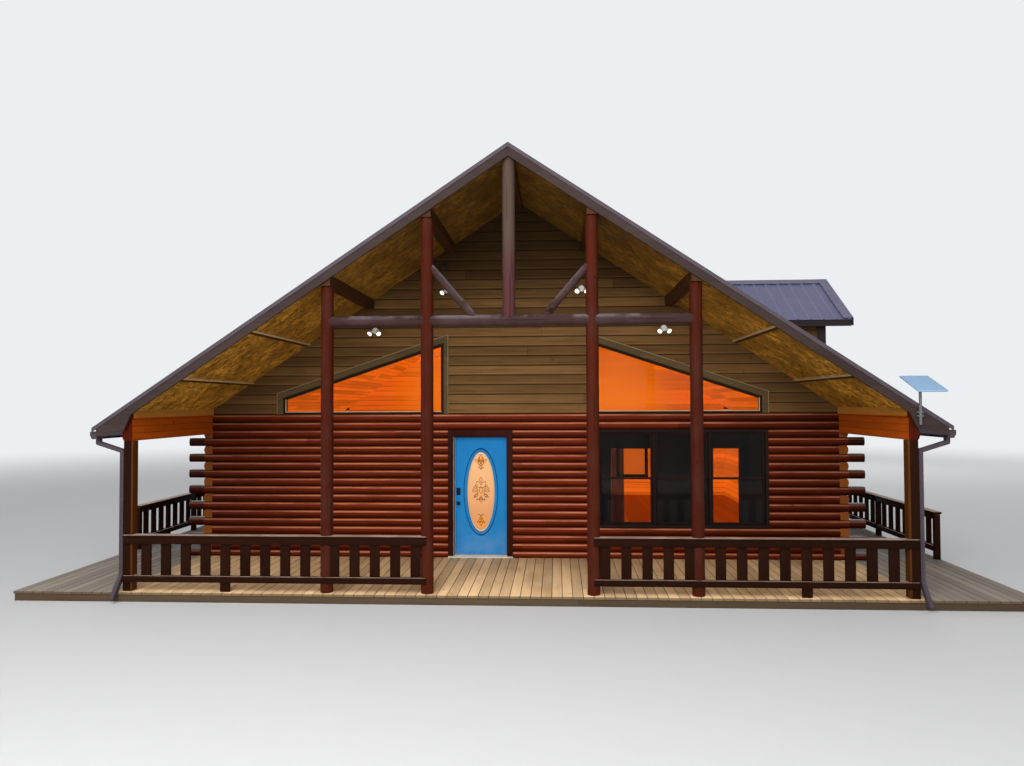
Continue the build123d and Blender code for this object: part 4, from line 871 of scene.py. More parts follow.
FINISHES = {
    "logs_across": lambda name: logs(name, X, (back_face - wall_face - log_thickness) / 2),
    "logs_lengthways": lambda name: logs(name, Y, house_half - log_thickness / 2),
    "gable_siding": lambda name: siding(name, X, wall_top),
    "dormer_face": lambda name: siding(name, Y, wall_top, -0.1),
    "dormer_cheeks": lambda name: siding(name, X, wall_top, -8.0),
    "purlin_wood": lambda name: sawn(name, Y, (0.070, 0.029, 0.013), 0.5),
    "rail_long": lambda name: sawn(name, X, colours().rail_stain, wear=0.9, start=0.1),
    "rail_side": lambda name: sawn(name, Y, colours().rail_stain, wear=0.9, start=0.1),
    "rail_upright": lambda name: sawn(name, Z, colours().rail_stain, 0.28, wear=0.3),
    "casing_upright": lambda name: sawn(name, Z, colours().trim_stain, 0.4, (0.35, 0.5), knots=0.1),
    "casing_level": lambda name: sawn(name, X, colours().trim_stain, 0.4, (0.35, 0.5), knots=0.1),
    "door_casing": lambda name: sawn(name, Z, (0.034, 0.0075, 0.0038), 0.4, (0.3, 0.45), knots=0.2),
    "gable_casing_wood": gable_casing_wood,
    "gable_stop_wood": gable_stop_wood,
    # Pale drip edges: real boards whose pale colour is a painted highlight along the casings' edge.
    "drip_edge_wood": lambda name: sawn(name, X, (0.26, 0.185, 0.095), 0.5, (0.4, 0.6), knots=0.1),
    "post_upright": lambda name: round_log(name, Z, colours().post_stain, (0.062, 0.022, 0.015)),
    "post_level": lambda name: round_log(name, X, (0.040, 0.020, 0.018), (0.072, 0.046, 0.045)),
    "porch_boards": lambda name: decking(name, colours().deck_tan, (0.42, 0.24, 0.11),
                                    sizes().deck_board, deck_low.x, roofed=True),
    "side_boards": lambda name: decking(name, colours().deck_grey, (0.12, 0.10, 0.085),
                                   side_board_pitch(), house_half),
    "joist_wood": lambda name: sawn(name, X, (0.085, 0.058, 0.036), 0.5, (0.6, 0.8)),
    "flake_board": flake_board,
    "roof_paint": lambda name: roof_metal(name, Y, wall_face, back_face),
    "dormer_paint": lambda name: roof_metal(name, X, dormer_low.y + 0.1, dormer_high.y - 0.1),
    "dormer_edges": dormer_edges,
    "trim_paint": lambda name: painted(name, colours().trim_paint, 0.4, 0.1, 0.25),
    "gutter_paint": lambda name: painted(name, toned(colours().trim_paint, 0.85), 0.42, 0.1, 0.3, Z),
    "rake_board_wood": lambda name: sawn(name, X, colours().fascia_stain, 0.5, (0.4, 0.6), knots=0.15),
    "header_wood": header_wood,
    "corner_post_wood": corner_post_wood,
    "door_blue": door_paint,
    "door_edge": lambda name: painted(name, (0.55, 0.55, 0.52), 0.5, 0.0, 0.12),
    "frosted_oval": ornament_glass,
    "pane_glass": pane_glass,
    "came_metal": lambda name: dark_metal(name, (0.22, 0.078, 0.018), 0.45, 0.0),
    "lock_black": lambda name: dark_metal(name, (0.018, 0.016, 0.015), 0.35, 0.6),
    "hinge_steel": lambda name: dark_metal(name, (0.30, 0.28, 0.25), 0.35, 0.9),
    "sill_metal": lambda name: painted(name, (0.72, 0.66, 0.56), 0.4, 0.1, 0.15),
    "white_metal": lambda name: painted(name, (0.72, 0.70, 0.66), 0.4, 0.0, 0.1),
    "dome_shell": lambda name: painted(name, (0.030, 0.022, 0.022), 0.3, 0.0, 0.15),
    "lamp_glass": lamp_glass,
    "dish_plastic": lambda name: painted(name, (0.25, 0.41, 0.60), 0.35, 0.0, 0.08),
    "dish_steel": lambda name: painted(name, (0.16, 0.17, 0.18), 0.4, 0.4, 0.2),
    "floor_wood": lambda name: sawn(name, Y, (0.38, 0.17, 0.06), 0.09, (0.3, 0.45), 0.45),
    "cast_concrete": concrete,
}


def finish_named(name):
    """A finish of the cabin, made when it is first asked for."""
    return bpy.data.materials.get(name) or FINISHES[name](name)


# Modelling

def only(*pieces):
    """Select these pieces alone and make the last one active."""
    bpy.ops.object.select_all(action="DESELECT")
    for piece in pieces:
        piece.select_set(True)
        bpy.context.view_layer.objects.active = piece


def settled():
    """The new active piece, with its place moved into its mesh."""
    bpy.ops.object.transform_apply(location=True, rotation=True, scale=True)
    return bpy.context.object


def modified(piece, kind, **settings):
    """Add a modifier, set it and apply it."""
    only(piece)
    bpy.ops.object.modifier_add(type=kind)
    modifier = piece.modifiers[-1]
    for name, value in settings.items():
        setattr(modifier, name, value)
    bpy.ops.object.modifier_apply(modifier=modifier.name)
    return piece


def soften(piece, width, segments=2, angle=35):
    """Round the edges of a piece that are sharper than an angle."""
    return modified(piece, "BEVEL", width=width, segments=segments, limit_method="ANGLE",
                    angle_limit=math.radians(angle))


def cleaned(piece, near=0.00001):
    """Weld the points that meet and turn the faces outward."""
    only(piece)
    bpy.ops.object.mode_set(mode="EDIT")
    bpy.ops.mesh.select_all(action="SELECT")
    bpy.ops.mesh.remove_doubles(threshold=near)
    bpy.ops.mesh.normals_make_consistent(inside=False)
    bpy.ops.object.mode_set(mode="OBJECT")
    return piece


def moved(piece, place, turn=0.0):
    """A piece turned about the upright axis and then moved, in its mesh."""
    piece.data.transform(Matrix.Translation(place) @ Matrix.Rotation(turn, 4, "Z"))
    return piece


def remove(*pieces):
    """Delete pieces that only served to make others."""
    for piece in pieces:
        bpy.data.objects.remove(piece)


def block(low, high, edge=None, segments=2):
    """A timber or plate between two corners, with rounded edges."""
    low, high = Vector(low), Vector(high)
    bpy.ops.object.select_all(action="DESELECT")
    bpy.ops.mesh.primitive_cube_add(size=1, location=(low + high) / 2, scale=high - low)
    return soften(settled(), sizes().edge_round if edge is None else edge, segments)


def copy_of(piece, move=(0.0, 0.0, 0.0), turn=0.0):
    """The same shape again with its own mesh, turned about the upright axis and then moved."""
    other = piece.copy()
    other.data = piece.data.copy()
    bpy.context.scene.collection.objects.link(other)
    return moved(other, move, turn)


def across_ridge(piece):
    """The same shape on the other side of the ridge line."""
    other = copy_of(piece)
    other.data.transform(Matrix.Scale(-1.0, 4, (1.0, 0.0, 0.0)))
    return cleaned(other)


def joined(pieces):
    """Several pieces as one."""
    only(*pieces)
    if len(pieces) > 1:
        bpy.ops.object.join()
    return bpy.context.object


def both_sides(piece):
    """A piece and its twin across the ridge line as one."""
    return joined([piece, across_ridge(piece)])


def drawn(lines, **settings):
    """Lines of points as a curve with some settings, made a mesh."""
    curve = bpy.data.curves.new("lines", "CURVE")
    for name, value in settings.items():
        setattr(curve, name, value)
    for points, closed in lines:
        spline = curve.splines.new("POLY")
        spline.points.add(len(points) - 1)
        for point, place in zip(spline.points, points):
            point.co = (*place, 1.0)
        spline.use_cyclic_u = closed
    piece = bpy.data.objects.new("lines", curve)
    bpy.context.scene.collection.objects.link(piece)
    only(piece)
    bpy.ops.object.convert(target="MESH")
    return bpy.context.object


def outline(rings, depth, edge=0.0, middle=0.0):
    """A flat shape with holes, drawn in X and Z, with some depth along Y about its middle."""
    lines = [([(x, z, 0.0) for x, z in ring], True) for ring in rings]
    piece = drawn(lines, dimensions="2D", fill_mode="BOTH", extrude=depth / 2 - edge, bevel_depth=edge,
                  bevel_resolution=2, offset=-edge)
    piece.data.transform(Matrix.Rotation(math.pi / 2, 4, "X"))
    return moved(cleaned(piece, 0.00002), (0.0, middle, 0.0))


def turned(profile, base, direction, steps=32):
    """A turned piece: a profile of (distance along, radius) spun about a line from base."""
    piece = drawn([([(radius, 0.0, along) for along, radius in profile], False)], dimensions="3D")
    bpy.ops.object.mode_set(mode="EDIT")
    bpy.ops.mesh.select_all(action="SELECT")
    bpy.ops.mesh.spin(steps=steps, angle=2 * math.pi, center=(0, 0, 0), axis=(0, 0, 1))
    bpy.ops.object.mode_set(mode="OBJECT")
    turn = Vector(direction).to_track_quat("Z", "Y").to_matrix().to_4x4()
    cleaned(piece).data.transform(Matrix.Translation(base) @ turn)
    return piece


def place_piece(piece, name, finish, replaces=(), body=HOUSE, smooth=30):
    """Name a finished piece, give it its finish, and hang it on its body."""
    piece.name = name
    if finish:
        piece.data.materials.clear()
        piece.data.materials.append(finish_named(finish))
    only(piece)
    bpy.ops.object.shade_smooth_by_angle(angle=math.radians(smooth))
    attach(piece, body)
    if replaces:
        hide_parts(*replaces)
    return piece


def dress(finish, *nodes):
    """Give CAD nodes one finish."""
    for node in nodes:
        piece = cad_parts[node]
        if not piece.material_slots:
            piece.data.materials.append(finish_named(finish))
        for material_slot in piece.material_slots:
            material_slot.material = finish_named(finish)


# Walls, roof and floor, which keep their CAD shapes, and the roof's screws

class CABIN_OT_walls(bpy.types.Operator):
    """Stain the log walls and the gables, with pine on their indoor side"""

    bl_idname = "cabin.walls"
    bl_label = "Walls"

    def execute(self, context):
        dress("logs_across", "front_wall_left", "front_wall_middle", "front_wall_right",
              "front_wall_under_window", "front_wall_over_openings", "back_wall")
        dress("logs_lengthways", "left_wall", "right_wall")
        dress("gable_siding", "front_gable", "back_gable")
        dress("dormer_face", "dormer_front_wall")
        dress("dormer_cheeks", "dormer_side_walls")
        dress("cast_concrete", "foundation")
        dress("floor_wood", "floor")
        return {"FINISHED"}


class CABIN_OT_roof(bpy.types.Operator):
    """Paint the ribbed roof, its trims and gutters, and board the porch ceiling"""

    bl_idname = "cabin.roof"
    bl_label = "Roof"

    def execute(self, context):
        dress("roof_paint", "roof_left", "roof_right")
        dress("dormer_paint", "dormer_roof")
        dress("dormer_edges", "dormer_trim")
        dress("trim_paint", "roof_trim")
        dress("rake_board_wood", "fascia_boards")
        dress("gutter_paint", "gutters", "downspouts")
        dress("flake_board", "porch_soffit")
        dress("purlin_wood", "purlins")
        dress("header_wood", "header_beams")
        return {"FINISHED"}


class CABIN_OT_roof_screws(bpy.types.Operator):
    """Rows of washer-headed screws up both slopes"""

    bl_idname = "cabin.roof_screws"
    bl_label = "Roof screws"

    def execute(self, context):
        profile = [(-0.002, 0.0), (-0.002, 0.008), (0.001, 0.008), (0.001, 0.0045),
                   (0.005, 0.004), (0.0055, 0.0)]
        head = turned(profile, (0, 0, 0), (math.sin(slope_angle), 0, math.cos(slope_angle)), steps=6)
        flat_drop = 0.0305
        dormer_start, dormer_end, dormer_inner = -2.6, 0.4, 1.7
        seen, everywhere = [], []
        x = 0.35
        while x < roof_high.x - 0.05:
            y = roof_low.y + rib_pitch * 0.5 + 0.06
            while y < roof_high.y - 0.05:
                place = (x, y, ridge_top - slope * x - flat_drop)
                everywhere.append(copy_of(head, place))
                under_dormer = dormer_start < y < dormer_end and x > dormer_inner
                if not under_dormer:
                    seen.append(copy_of(head, place))
                y += rib_pitch
            x += sizes().screw_spacing * math.cos(slope_angle)
        whole = joined(everywhere)
        left = across_ridge(whole)
        remove(head, whole)
        place_piece(joined([*seen, left]), "roof_screws", "trim_paint")
        return {"FINISHED"}


# Decks

def side_board_pitch():
    """Width of a side deck's board with its gap, so that whole boards fill the deck."""
    return (deck_high.x - house_half) / side_board_count


def board_rows(x0, count, pitch, y0, y1, notched=0, notch=0.0):
    """Deck boards side by side from x0, the first few of them starting further back."""
    gap = sizes().deck_gap
    edge = 0.004
    low = deck_top - board_thickness
    long_board = block((x0 + gap / 2, y0, low), (x0 + pitch - gap / 2, y1, deck_top), edge)
    boards = []
    for index in range(count):
        sway = random.uniform(-0.0012, 0.0012)
        if index < notched:
            left, right = x0 + gap / 2 + index * pitch, x0 + (index + 1) * pitch - gap / 2
            boards.append(block((left, y0 + notch, low), (right, y1, deck_top), edge))
        else:
            boards.append(copy_of(long_board, (index * pitch, 0.0, min(sway, 0.0))))
    remove(long_board)
    return boards


def deck_frame(x0, x1, y0, y1):
    """Rim boards and joists under a deck."""
    top = deck_top - board_thickness - 0.001
    thick = plank_thickness
    inset = thick + 0.001
    timbers = [
        block((x0, y0, 0.0), (x1, y0 + thick, top)),
        block((x0, y1 - thick, 0.0), (x1, y1, top)),
        block((x0, y0 + inset, 0.0), (x0 + thick, y1 - inset, top)),
        block((x1 - thick, y0 + inset, 0.0), (x1, y1 - inset, top)),
    ]
    count = round((y1 - y0) / joist_spacing)
    spacing = (y1 - y0 - thick) / count
    joist = block((x0 + 0.04, y0, 0.0), (x1 - 0.04, y0 + thick, top))
    timbers += [copy_of(joist, (0.0, spacing * index, 0.0)) for index in range(1, count)]
    remove(joist)
    return timbers


class CABIN_OT_decks(bpy.types.Operator):
    """Porch and side decks: single boards on rims and joists"""

    bl_idname = "cabin.decks"
    bl_label = "Decks"

    def execute(self, context):
        random.seed(3)
        pitch = sizes().deck_board
        count = round((deck_high.x - deck_low.x) / pitch)
        boards = joined(board_rows(deck_low.x, count, pitch, deck_low.y, deck_high.y))
        place_piece(boards, "porch_deck_boards", "porch_boards", ["porch_deck"])
        rims = joined(deck_frame(deck_low.x + 0.01, deck_high.x - 0.01, deck_low.y + 0.02, deck_high.y))
        place_piece(rims, "porch_deck_frame", "joist_wood")
        y0, y1 = side_deck_low.y + hair, side_deck_high.y
        boards = joined(board_rows(house_half + hair, side_board_count, side_board_pitch(), y0, y1,
                                   notched=2, notch=log_thickness))
        place_piece(both_sides(boards), "side_deck_boards", "side_boards", ["side_decks"])
        rims = joined(deck_frame(house_half + 0.28, deck_high.x - 0.01, y0 + 0.001, y1 - 0.01))
        place_piece(both_sides(rims), "side_deck_frame", "joist_wood")
        return {"FINISHED"}


# Railings

def rail_bay(length, count, first, pitch, middle_foot=True):
    """One bay of railing along X from 0. Gives its level timbers and its upright boards."""
    top = deck_top + rail_height
    upper = top - plank_thickness - bar_height
    lower = deck_top + low_bar_rise
    half = plank_thickness / 2
    level = [block((0, -rail_half, top - plank_thickness), (length, rail_half, top), 0.007, 3)]
    for low in (upper, lower):
        for side in (-1, 1):
            edges = sorted((side * half, side * (half + plank_thickness)))
            level.append(block((0, edges[0], low), (length, edges[1], low + bar_height)))
    short = block((first, -half, lower), (first + baluster_width, half, upper + 0.03))
    tall = block((first, -half, deck_top + hair), (first + baluster_width, half, upper + 0.03))
    upright = []
    for index in range(count):
        standing = middle_foot and index == count // 2
        upright.append(copy_of(tall if standing else short, (index * pitch, 0.0, 0.0)))
    remove(short, tall)
    return level, upright


class CABIN_OT_porch_rails(bpy.types.Operator):
    """Railings that pass the porch posts' front faces, on both sides of the way in"""

    bl_idname = "cabin.porch_rails"
    bl_label = "Porch railings"

    def execute(self, context):
        level, upright = [], []
        for start, length, count, first, foot in (
                (outer_post, rail_high.x - outer_post, 9, 0.224, True),
                (inner_post, outer_post - inner_post, 5, 0.087, False)):
            bay_level, bay_upright = rail_bay(length, count, first, baluster_pitch, foot)
            for piece in bay_level + bay_upright:
                moved(piece, (start, rail_low.y + rail_half, 0.0))
            level += bay_level
            upright += bay_upright
        bars = self.notched(joined(level))
        boards = self.notched(joined(upright))
        place_piece(both_sides(bars), "porch_rail_bars", "rail_long", ["porch_rails"])
        place_piece(both_sides(boards), "porch_rail_boards", "rail_upright")
        return {"FINISHED"}

    def notched(self, piece):
        """A railing's timbers, cut to fit the posts that they pass."""
        radius = sizes().post_width / 2 + 0.001
        depth = 1.2
        cutters = []
        for x in (inner_post, outer_post):
            bpy.ops.object.select_all(action="DESELECT")
            bpy.ops.mesh.primitive_cylinder_add(vertices=36, radius=radius, depth=depth,
                                                location=(x, post_line, deck_top + 0.5))
            cutters.append(settled())
        near, away = corner_high.x - 0.141, corner_high.x + 0.2
        place = ((near + away) / 2, corner_low.y + 0.199, deck_top + 0.5)
        bpy.ops.object.select_all(action="DESELECT")
        bpy.ops.mesh.primitive_cube_add(size=1, location=place, scale=(away - near, 0.4, depth))
        cutters.append(settled())
        for cutter in cutters:
            modified(piece, "BOOLEAN", object=cutter, operation="DIFFERENCE", solver="EXACT", use_self=True)
        remove(*cutters)
        return piece


class CABIN_OT_side_rails(bpy.types.Operator):
    """Railings of the side decks, whose caps run over their square posts"""

    bl_idname = "cabin.side_rails"
    bl_label = "Side railings"

    def execute(self, context):
        level, upright = [], []
        post = side_post_width
        end = side_deck_high.y - side_deck_low.y - post
        rail_x = deck_high.x - rail_half
        top = deck_top + rail_height
        under_cap = top - plank_thickness
        for side, start in ((1, 0.1), (-1, 0.5)):
            middle = (start + end) / 2
            x = side * rail_x
            for first, last in ((start, middle), (middle, end)):
                length = last - first - post
                spare = (length - 7 * baluster_width) / 8
                bay_level, bay_upright = rail_bay(length, 7, spare, baluster_width + spare)
                for piece in bay_level + bay_upright:
                    moved(piece, (x, wall_face + first + post, 0.0), math.pi / 2)
                remove(bay_level.pop(0))
                level += bay_level
                upright += bay_upright
            for place in (start, middle, end):
                y = wall_face + place
                upright.append(block((x - post / 2, y, deck_top + hair),
                                     (x + post / 2, y + post, under_cap - hair), 0.006, 3))
            for y0, y1 in ((start, middle + post / 2), (middle + post / 2, end + post)):
                level.append(block((x - rail_half, wall_face + y0, under_cap),
                                   (x + rail_half, wall_face + y1 - 0.001, top), 0.007, 3))
        place_piece(joined(level), "side_rail_bars", "rail_side", ["side_rails"])
        place_piece(joined(upright), "side_rail_boards", "rail_upright")
        return {"FINISHED"}


# Porch posts and beams

def log_between(start, end, diameter):
    """A round log between two points, cut across every few centimetres."""
    start, end = Vector(start), Vector(end)
    direction = end - start
    turn = direction.to_track_quat("Z", "Y").to_euler()
    bpy.ops.object.select_all(action="DESELECT")
    bpy.ops.mesh.primitive_cylinder_add(vertices=36, radius=diameter / 2, depth=direction.length,
                                        location=(start + end) / 2, rotation=turn)
    piece = settled()
    line = direction.normalized()
    bpy.ops.object.mode_set(mode="EDIT")
    bpy.ops.mesh.select_mode(type="EDGE")
    bpy.ops.mesh.select_all(action="DESELECT")
    bpy.ops.object.mode_set(mode="OBJECT")
    for edge in piece.data.edges:
        a, b = (piece.data.vertices[index].co for index in edge.vertices)
        edge.select = abs((b - a).normalized().dot(line)) > 0.99
    bpy.ops.object.mode_set(mode="EDIT")
    bpy.ops.mesh.subdivide(number_cuts=max(4, round(direction.length / 0.09)))
    bpy.ops.object.mode_set(mode="OBJECT")
    return soften(piece, 0.008, angle=60)


class CABIN_OT_porch_posts(bpy.types.Operator):
    """Round posts, the king post, the tie beam and the braces of the porch gable"""

    bl_idname = "cabin.porch_posts"
    bl_label = "Porch posts"

    def execute(self, context):
        under_roof = 0.248
        lines = [(x, deck_top + hair, ridge_top - slope * abs(x) - under_roof)
                 for x in (-outer_post, -inner_post, inner_post, outer_post)]
        king_post = (0.0, tie_height + 0.03, ridge_top - 0.15)
        posts = [self.weathered_log((x, foot), (x, top), sizes().post_width)
                 for x, foot, top in (*lines, king_post)]
        place_piece(joined(posts), "round_posts", "post_upright", ["porch_posts"])
        tie_width = tie_high.z - tie_low.z
        bars = [self.weathered_log((left, tie_height), (right, tie_height), tie_width)
                for left, right in ((-2.55, -1.2), (-1.12, 1.12), (1.2, 2.55))]
        place_piece(joined(bars), "tie_beam_logs", "post_level", ["tie_beam"])
        brace_width = 0.112
        brace = self.weathered_log((0.49, tie_height + 0.046), (1.131, 4.740), brace_width)
        place_piece(both_sides(brace), "brace_logs", "post_level", ["braces"])
        corner_width = 0.14
        left = block(corner_low, (corner_low.x + corner_width, corner_high.y, corner_high.z), 0.008, 3)
        place_piece(both_sides(left), "square_corner_posts", "corner_post_wood",
                    ["corner_posts"])
        return {"FINISHED"}

    def weathered_log(self, start, end, diameter):
        """A log in the line of posts, between two points in X and Z, with swells and dips over its face."""
        swells = bpy.data.textures.get("log_swells")
        if swells is None:
            swells = bpy.data.textures.new("log_swells", "CLOUDS")
            swells.noise_scale = 0.28
            swells.noise_depth = 2
        ends = [(x, post_line, z) for x, z in (start, end)]
        return modified(log_between(*ends, diameter), "DISPLACE", texture=swells,
                        strength=sizes().post_unevenness, mid_level=0.62)


# Windows

def rectangle(x0, x1, z0, z1, inset=0.0):
    """Corners of an upright rectangle, moved inward all round."""
    left, right, low, high = x0 + inset, x1 - inset, z0 + inset, z1 - inset
    return [(left, low), (right, low), (right, high), (left, high)]


def ring_of(x0, x1, z0, z1, width, y0, y1, edge=0.003):
    """A rectangular frame of one width."""
    rings = [rectangle(x0, x1, z0, z1), rectangle(x0, x1, z0, z1, width)]
    return outline(rings, y1 - y0, edge, (y0 + y1) / 2)


def sash_window(x0, x1, z0, z1, units, depth):
    """A frame with double-hung sashes side by side, facing -Y with the wall's face at y = 0."""
    parts = [ring_of(x0, x1, z0, z1, casing_width, -0.025, depth, 0.004)]
    unit = (x1 - x0 - 2 * casing_width - (units - 1) * mullion_width) / units
    low, high = z0 + casing_width, z1 - casing_width
    meeting = (low + high) / 2
    for index in range(units):
        left = x0 + casing_width + index * (unit + mullion_width)
        right = left + unit
        if index < units - 1:
            parts.append(block((right, -0.0125, low), (right + mullion_width, depth, high), 0.004))
        for bottom, top, front in ((meeting - sash_width / 2, high, 0.030),
                                   (low, meeting + sash_width / 2, 0.065)):
            parts.append(ring_of(left, right, bottom, top, sash_width, front, front + 0.035))
        lock_x = (left + right) / 2
        parts.append(block((lock_x - 0.03, 0.026, meeting - 0.004),
                           (lock_x + 0.03, 0.031, meeting + 0.008), 0.001))
    return joined(parts)


class CABIN_OT_windows(bpy.types.Operator):
    """The wide front window and the sash windows of the other sides"""

    bl_idname = "cabin.windows"
    bl_label = "Windows"

    def execute(self, context):
        front = sash_window(window_low.x, window_high.x, window_low.z, window_high.z, 3, log_thickness)
        place_piece(moved(front, (0.0, wall_face, 0.0)), "front_window_frames", "casing_upright",
                    ["front_window"])
        walls = [(side * house_half, wall_face + back, side * math.pi / 2)
                 for back in (2.6, 6.5) for side in (-1, 1)]
        walls += [(x, back_face, math.pi) for x in (-2.8, 2.8)]
        ground_floor = (window_low.z, window_high.z, log_thickness, walls)
        back_gable = (wall_top + 0.2273, wall_top + 1.4267, 0.12, [(0.0, back_face - 0.022, math.pi)])
        dormer = (3.1904, 4.2697, 0.1, [(house_half, wall_face + 2.195, math.pi / 2)])
        placed = []
        for low, high, depth, places in (ground_floor, back_gable, dormer):
            window = sash_window(-sash_half, sash_half, low, high, 1, depth)
            placed += [copy_of(window, (x, y, 0.0), turn) for x, y, turn in places]
            remove(window)
        place_piece(joined(placed), "sash_frames", "casing_upright", ["side_windows"])
        dress("pane_glass", "window_glass")
        return {"FINISHED"}


def gable_outline(inner, outer, low, top):
    """A gable window's outline: inner and outer place, bottom, and height over the glass's inner place."""
    return [(inner, low), (outer, low),
            (outer, top - (outer - pane_inner) / 3), (inner, top - (inner - pane_inner) / 3)]


class CABIN_OT_gable_windows(bpy.types.Operator):
    """Casings and stops of the two sloping-topped windows in the front gable"""

    bl_idname = "cabin.gable_windows"
    bl_label = "Gable windows"

    def execute(self, context):
        low, top = wall_top + hair, pane_top + 0.1497
        outer = gable_outline(casing_inner, casing_outer, low, top)
        board = gable_outline(casing_inner - 0.012, casing_outer + 0.012, low, top + 0.013)
        opening = gable_outline(pane_inner, pane_outer, pane_low, pane_top)
        small = gable_outline(pane_inner + 0.012, pane_outer - 0.014, pane_low + 0.014, pane_top - 0.014)
        casing = outline([outer, opening], gable_high.y - gable_low.y - 0.004, 0.004,
                         (gable_low.y + gable_high.y) / 2 + 0.002)
        place_piece(both_sides(casing), "gable_casings", "gable_casing_wood", ["gable_windows"])
        stop = outline([opening, small], 0.03, 0.002, gable_low.y + 0.030)
        place_piece(both_sides(stop), "gable_stops", "gable_stop_wood")
        drip = outline([board, outer], 0.02, 0.002, gable_low.y + 0.020)
        place_piece(both_sides(drip), "gable_drip_edges", "drip_edge_wood")
        return {"FINISHED"}


# Front door

def oval(grow=0.0, scale=1.0, count=64):
    """Points of the door glass's upright oval, scaled and then grown all round."""
    half_width = glass_size.x / 2 * scale + grow
    half_height = glass_size.z / 2 * scale + grow
    angles = [2 * math.pi * index / count for index in range(count)]
    return [(glass_middle.x + half_width * math.cos(angle), glass_middle.z + half_height * math.sin(angle))
            for angle in angles]


class CABIN_OT_door(bpy.types.Operator):
    """The blue front door with its oval moulding, on both faces"""

    bl_idname = "cabin.door"
    bl_label = "Front door"

    def execute(self, context):
        middle = (door_front + door_back) / 2
        around = 0.051
        thick = door_back - door_front
        corners = rectangle(leaf_low.x, leaf_high.x, leaf_low.z, leaf_high.z)
        leaf = outline([corners, oval(around + 0.004)], thick, 0.002, middle)
        ring = outline([oval(around), oval(0.0005)], leaf_high.y - leaf_low.y, 0.007, middle)
        core = outline([oval(around + 0.0045), oval(around - 0.005)], thick - 0.016, 0.0, middle)
        place_piece(joined([leaf, ring, core]), "door_leaf", "door_blue", ["door"], DOOR)
        glass = outline([oval()], 0.02, 0.004, middle)
        place_piece(glass, "door_light", "frosted_oval", ["door_glass"], DOOR)
        return {"FINISHED"}


def scroll(start, heading, length, curl, width=1.0):
    """Points of a scroll that starts straight and winds up at its end."""
    x, z = start
    points = []
    count = 26
    for index in range(count):
        points.append((x, z))
        share = index / (count - 1)
        heading += curl * share * share * 0.42
        step = length / count * (1.0 - 0.55 * share)
        x += math.cos(heading) * step * width
        z += math.sin(heading) * step
    return points


def leaf_shape(base, heading, length, breadth):
    """Points round a pointed leaf."""
    points = []
    for side in (1, -1):
        steps = range(0, 9) if side == 1 else range(8, -1, -1)
        for index in steps:
            share = index / 8
            out = side * breadth * math.sin(math.pi * share)
            x = base[0] + math.cos(heading) * length * share - math.sin(heading) * out
            z = base[1] + math.sin(heading) * length * share + math.cos(heading) * out
            points.append((x, z))
    return points


def came_lines(lines, thickness):
    """Thin strips of metal that follow lines drawn in X and Z, on both faces of the door's glass."""
    stand_out = 0.0008
    y = glass_low.y - stand_out
    front = drawn([([(x, y, z) for x, z in points], closed) for points, closed in lines],
                  dimensions="3D", bevel_depth=thickness, bevel_resolution=2)
    return [front, copy_of(front, (0.0, glass_size.y + 2 * stand_out, 0.0))]


def cluster_lines(middle, drops, wide, tall):
    """One cluster of scrolls, the same on both sides of an upright line."""
    lines = []
    for x, z, heading, length, curl in drops:
        points = scroll((x, z), math.radians(heading), length, curl)
        for side in (1, -1):
            lines.append(([(middle.x + side * px * wide, middle.z + pz * tall) for px, pz in points], False))
    return lines


class CABIN_OT_door_ornament(bpy.types.Operator):
    """Scrolls and leaves of metal strip in the door's glass, and the line of its border"""

    bl_idname = "cabin.door_ornament"
    bl_label = "Door ornament"

    def execute(self, context):
        border = came_lines([(oval(scale=0.955, count=72), True)], 0.0016)
        centre = glass_middle
        top = centre + Vector((0.0, 0.0, glass_size.z * 0.392))
        low = centre - Vector((0.0, 0.0, glass_size.z * 0.38))
        middle = [
            (0.0, 0.11, 60, 0.15, -1.5), (0.0, 0.06, 20, 0.17, 1.6), (0.03, 0.0, -10, 0.16, 1.7),
            (0.03, -0.02, -30, 0.15, -1.6), (0.0, -0.09, -60, 0.13, 1.6), (0.0, -0.12, 200, 0.10, -1.6),
            (0.05, 0.05, 80, 0.10, -1.4),
        ]
        upper = [(0.0, -0.08, 45, 0.15, 1.5), (0.0, -0.05, 80, 0.13, -1.5), (0.0, 0.0, 30, 0.10, 1.6),
                 (0.0, -0.13, 60, 0.09, -1.5)]
        lower = [(0.0, 0.05, -40, 0.10, -1.5), (0.0, 0.0, -20, 0.09, 1.5), (0.0, 0.07, 50, 0.07, -1.4)]
        lines = [*cluster_lines(centre, middle, 1.42, 1.08), *cluster_lines(top, upper, 1.3, 1.2),
                 *cluster_lines(low, lower, 1.5, 1.45)]
        leaves = [
            (centre, 0.0, 0.13, 90, 0.09, 0.017), (centre, 0.0, -0.03, 90, 0.11, 0.024),
            (centre, 0.0, -0.06, -90, 0.10, 0.02), (centre, 0.035, 0.02, 25, 0.085, 0.016),
            (centre, 0.035, -0.04, -35, 0.08, 0.015), (top, 0.0, 0.0, 90, 0.09, 0.018),
            (top, 0.0, -0.03, -90, 0.09, 0.016), (top, 0.02, -0.02, 30, 0.07, 0.014),
            (low, 0.0, 0.03, 90, 0.07, 0.014), (low, 0.0, 0.02, -90, 0.08, 0.016),
        ]
        shapes = []
        for where, x, z, heading, length, breadth in leaves:
            points = leaf_shape((x, z), math.radians(heading), length, breadth)
            for side in (1, -1) if x else (1,):
                shapes.append(([(where.x + side * px * 1.3, where.z + pz * 1.15) for px, pz in points], True))
        cames = came_lines(lines + shapes, 0.0042)
        place_piece(joined([*border, *cames]), "door_cames", "came_metal", (), DOOR)
        return {"FINISHED"}


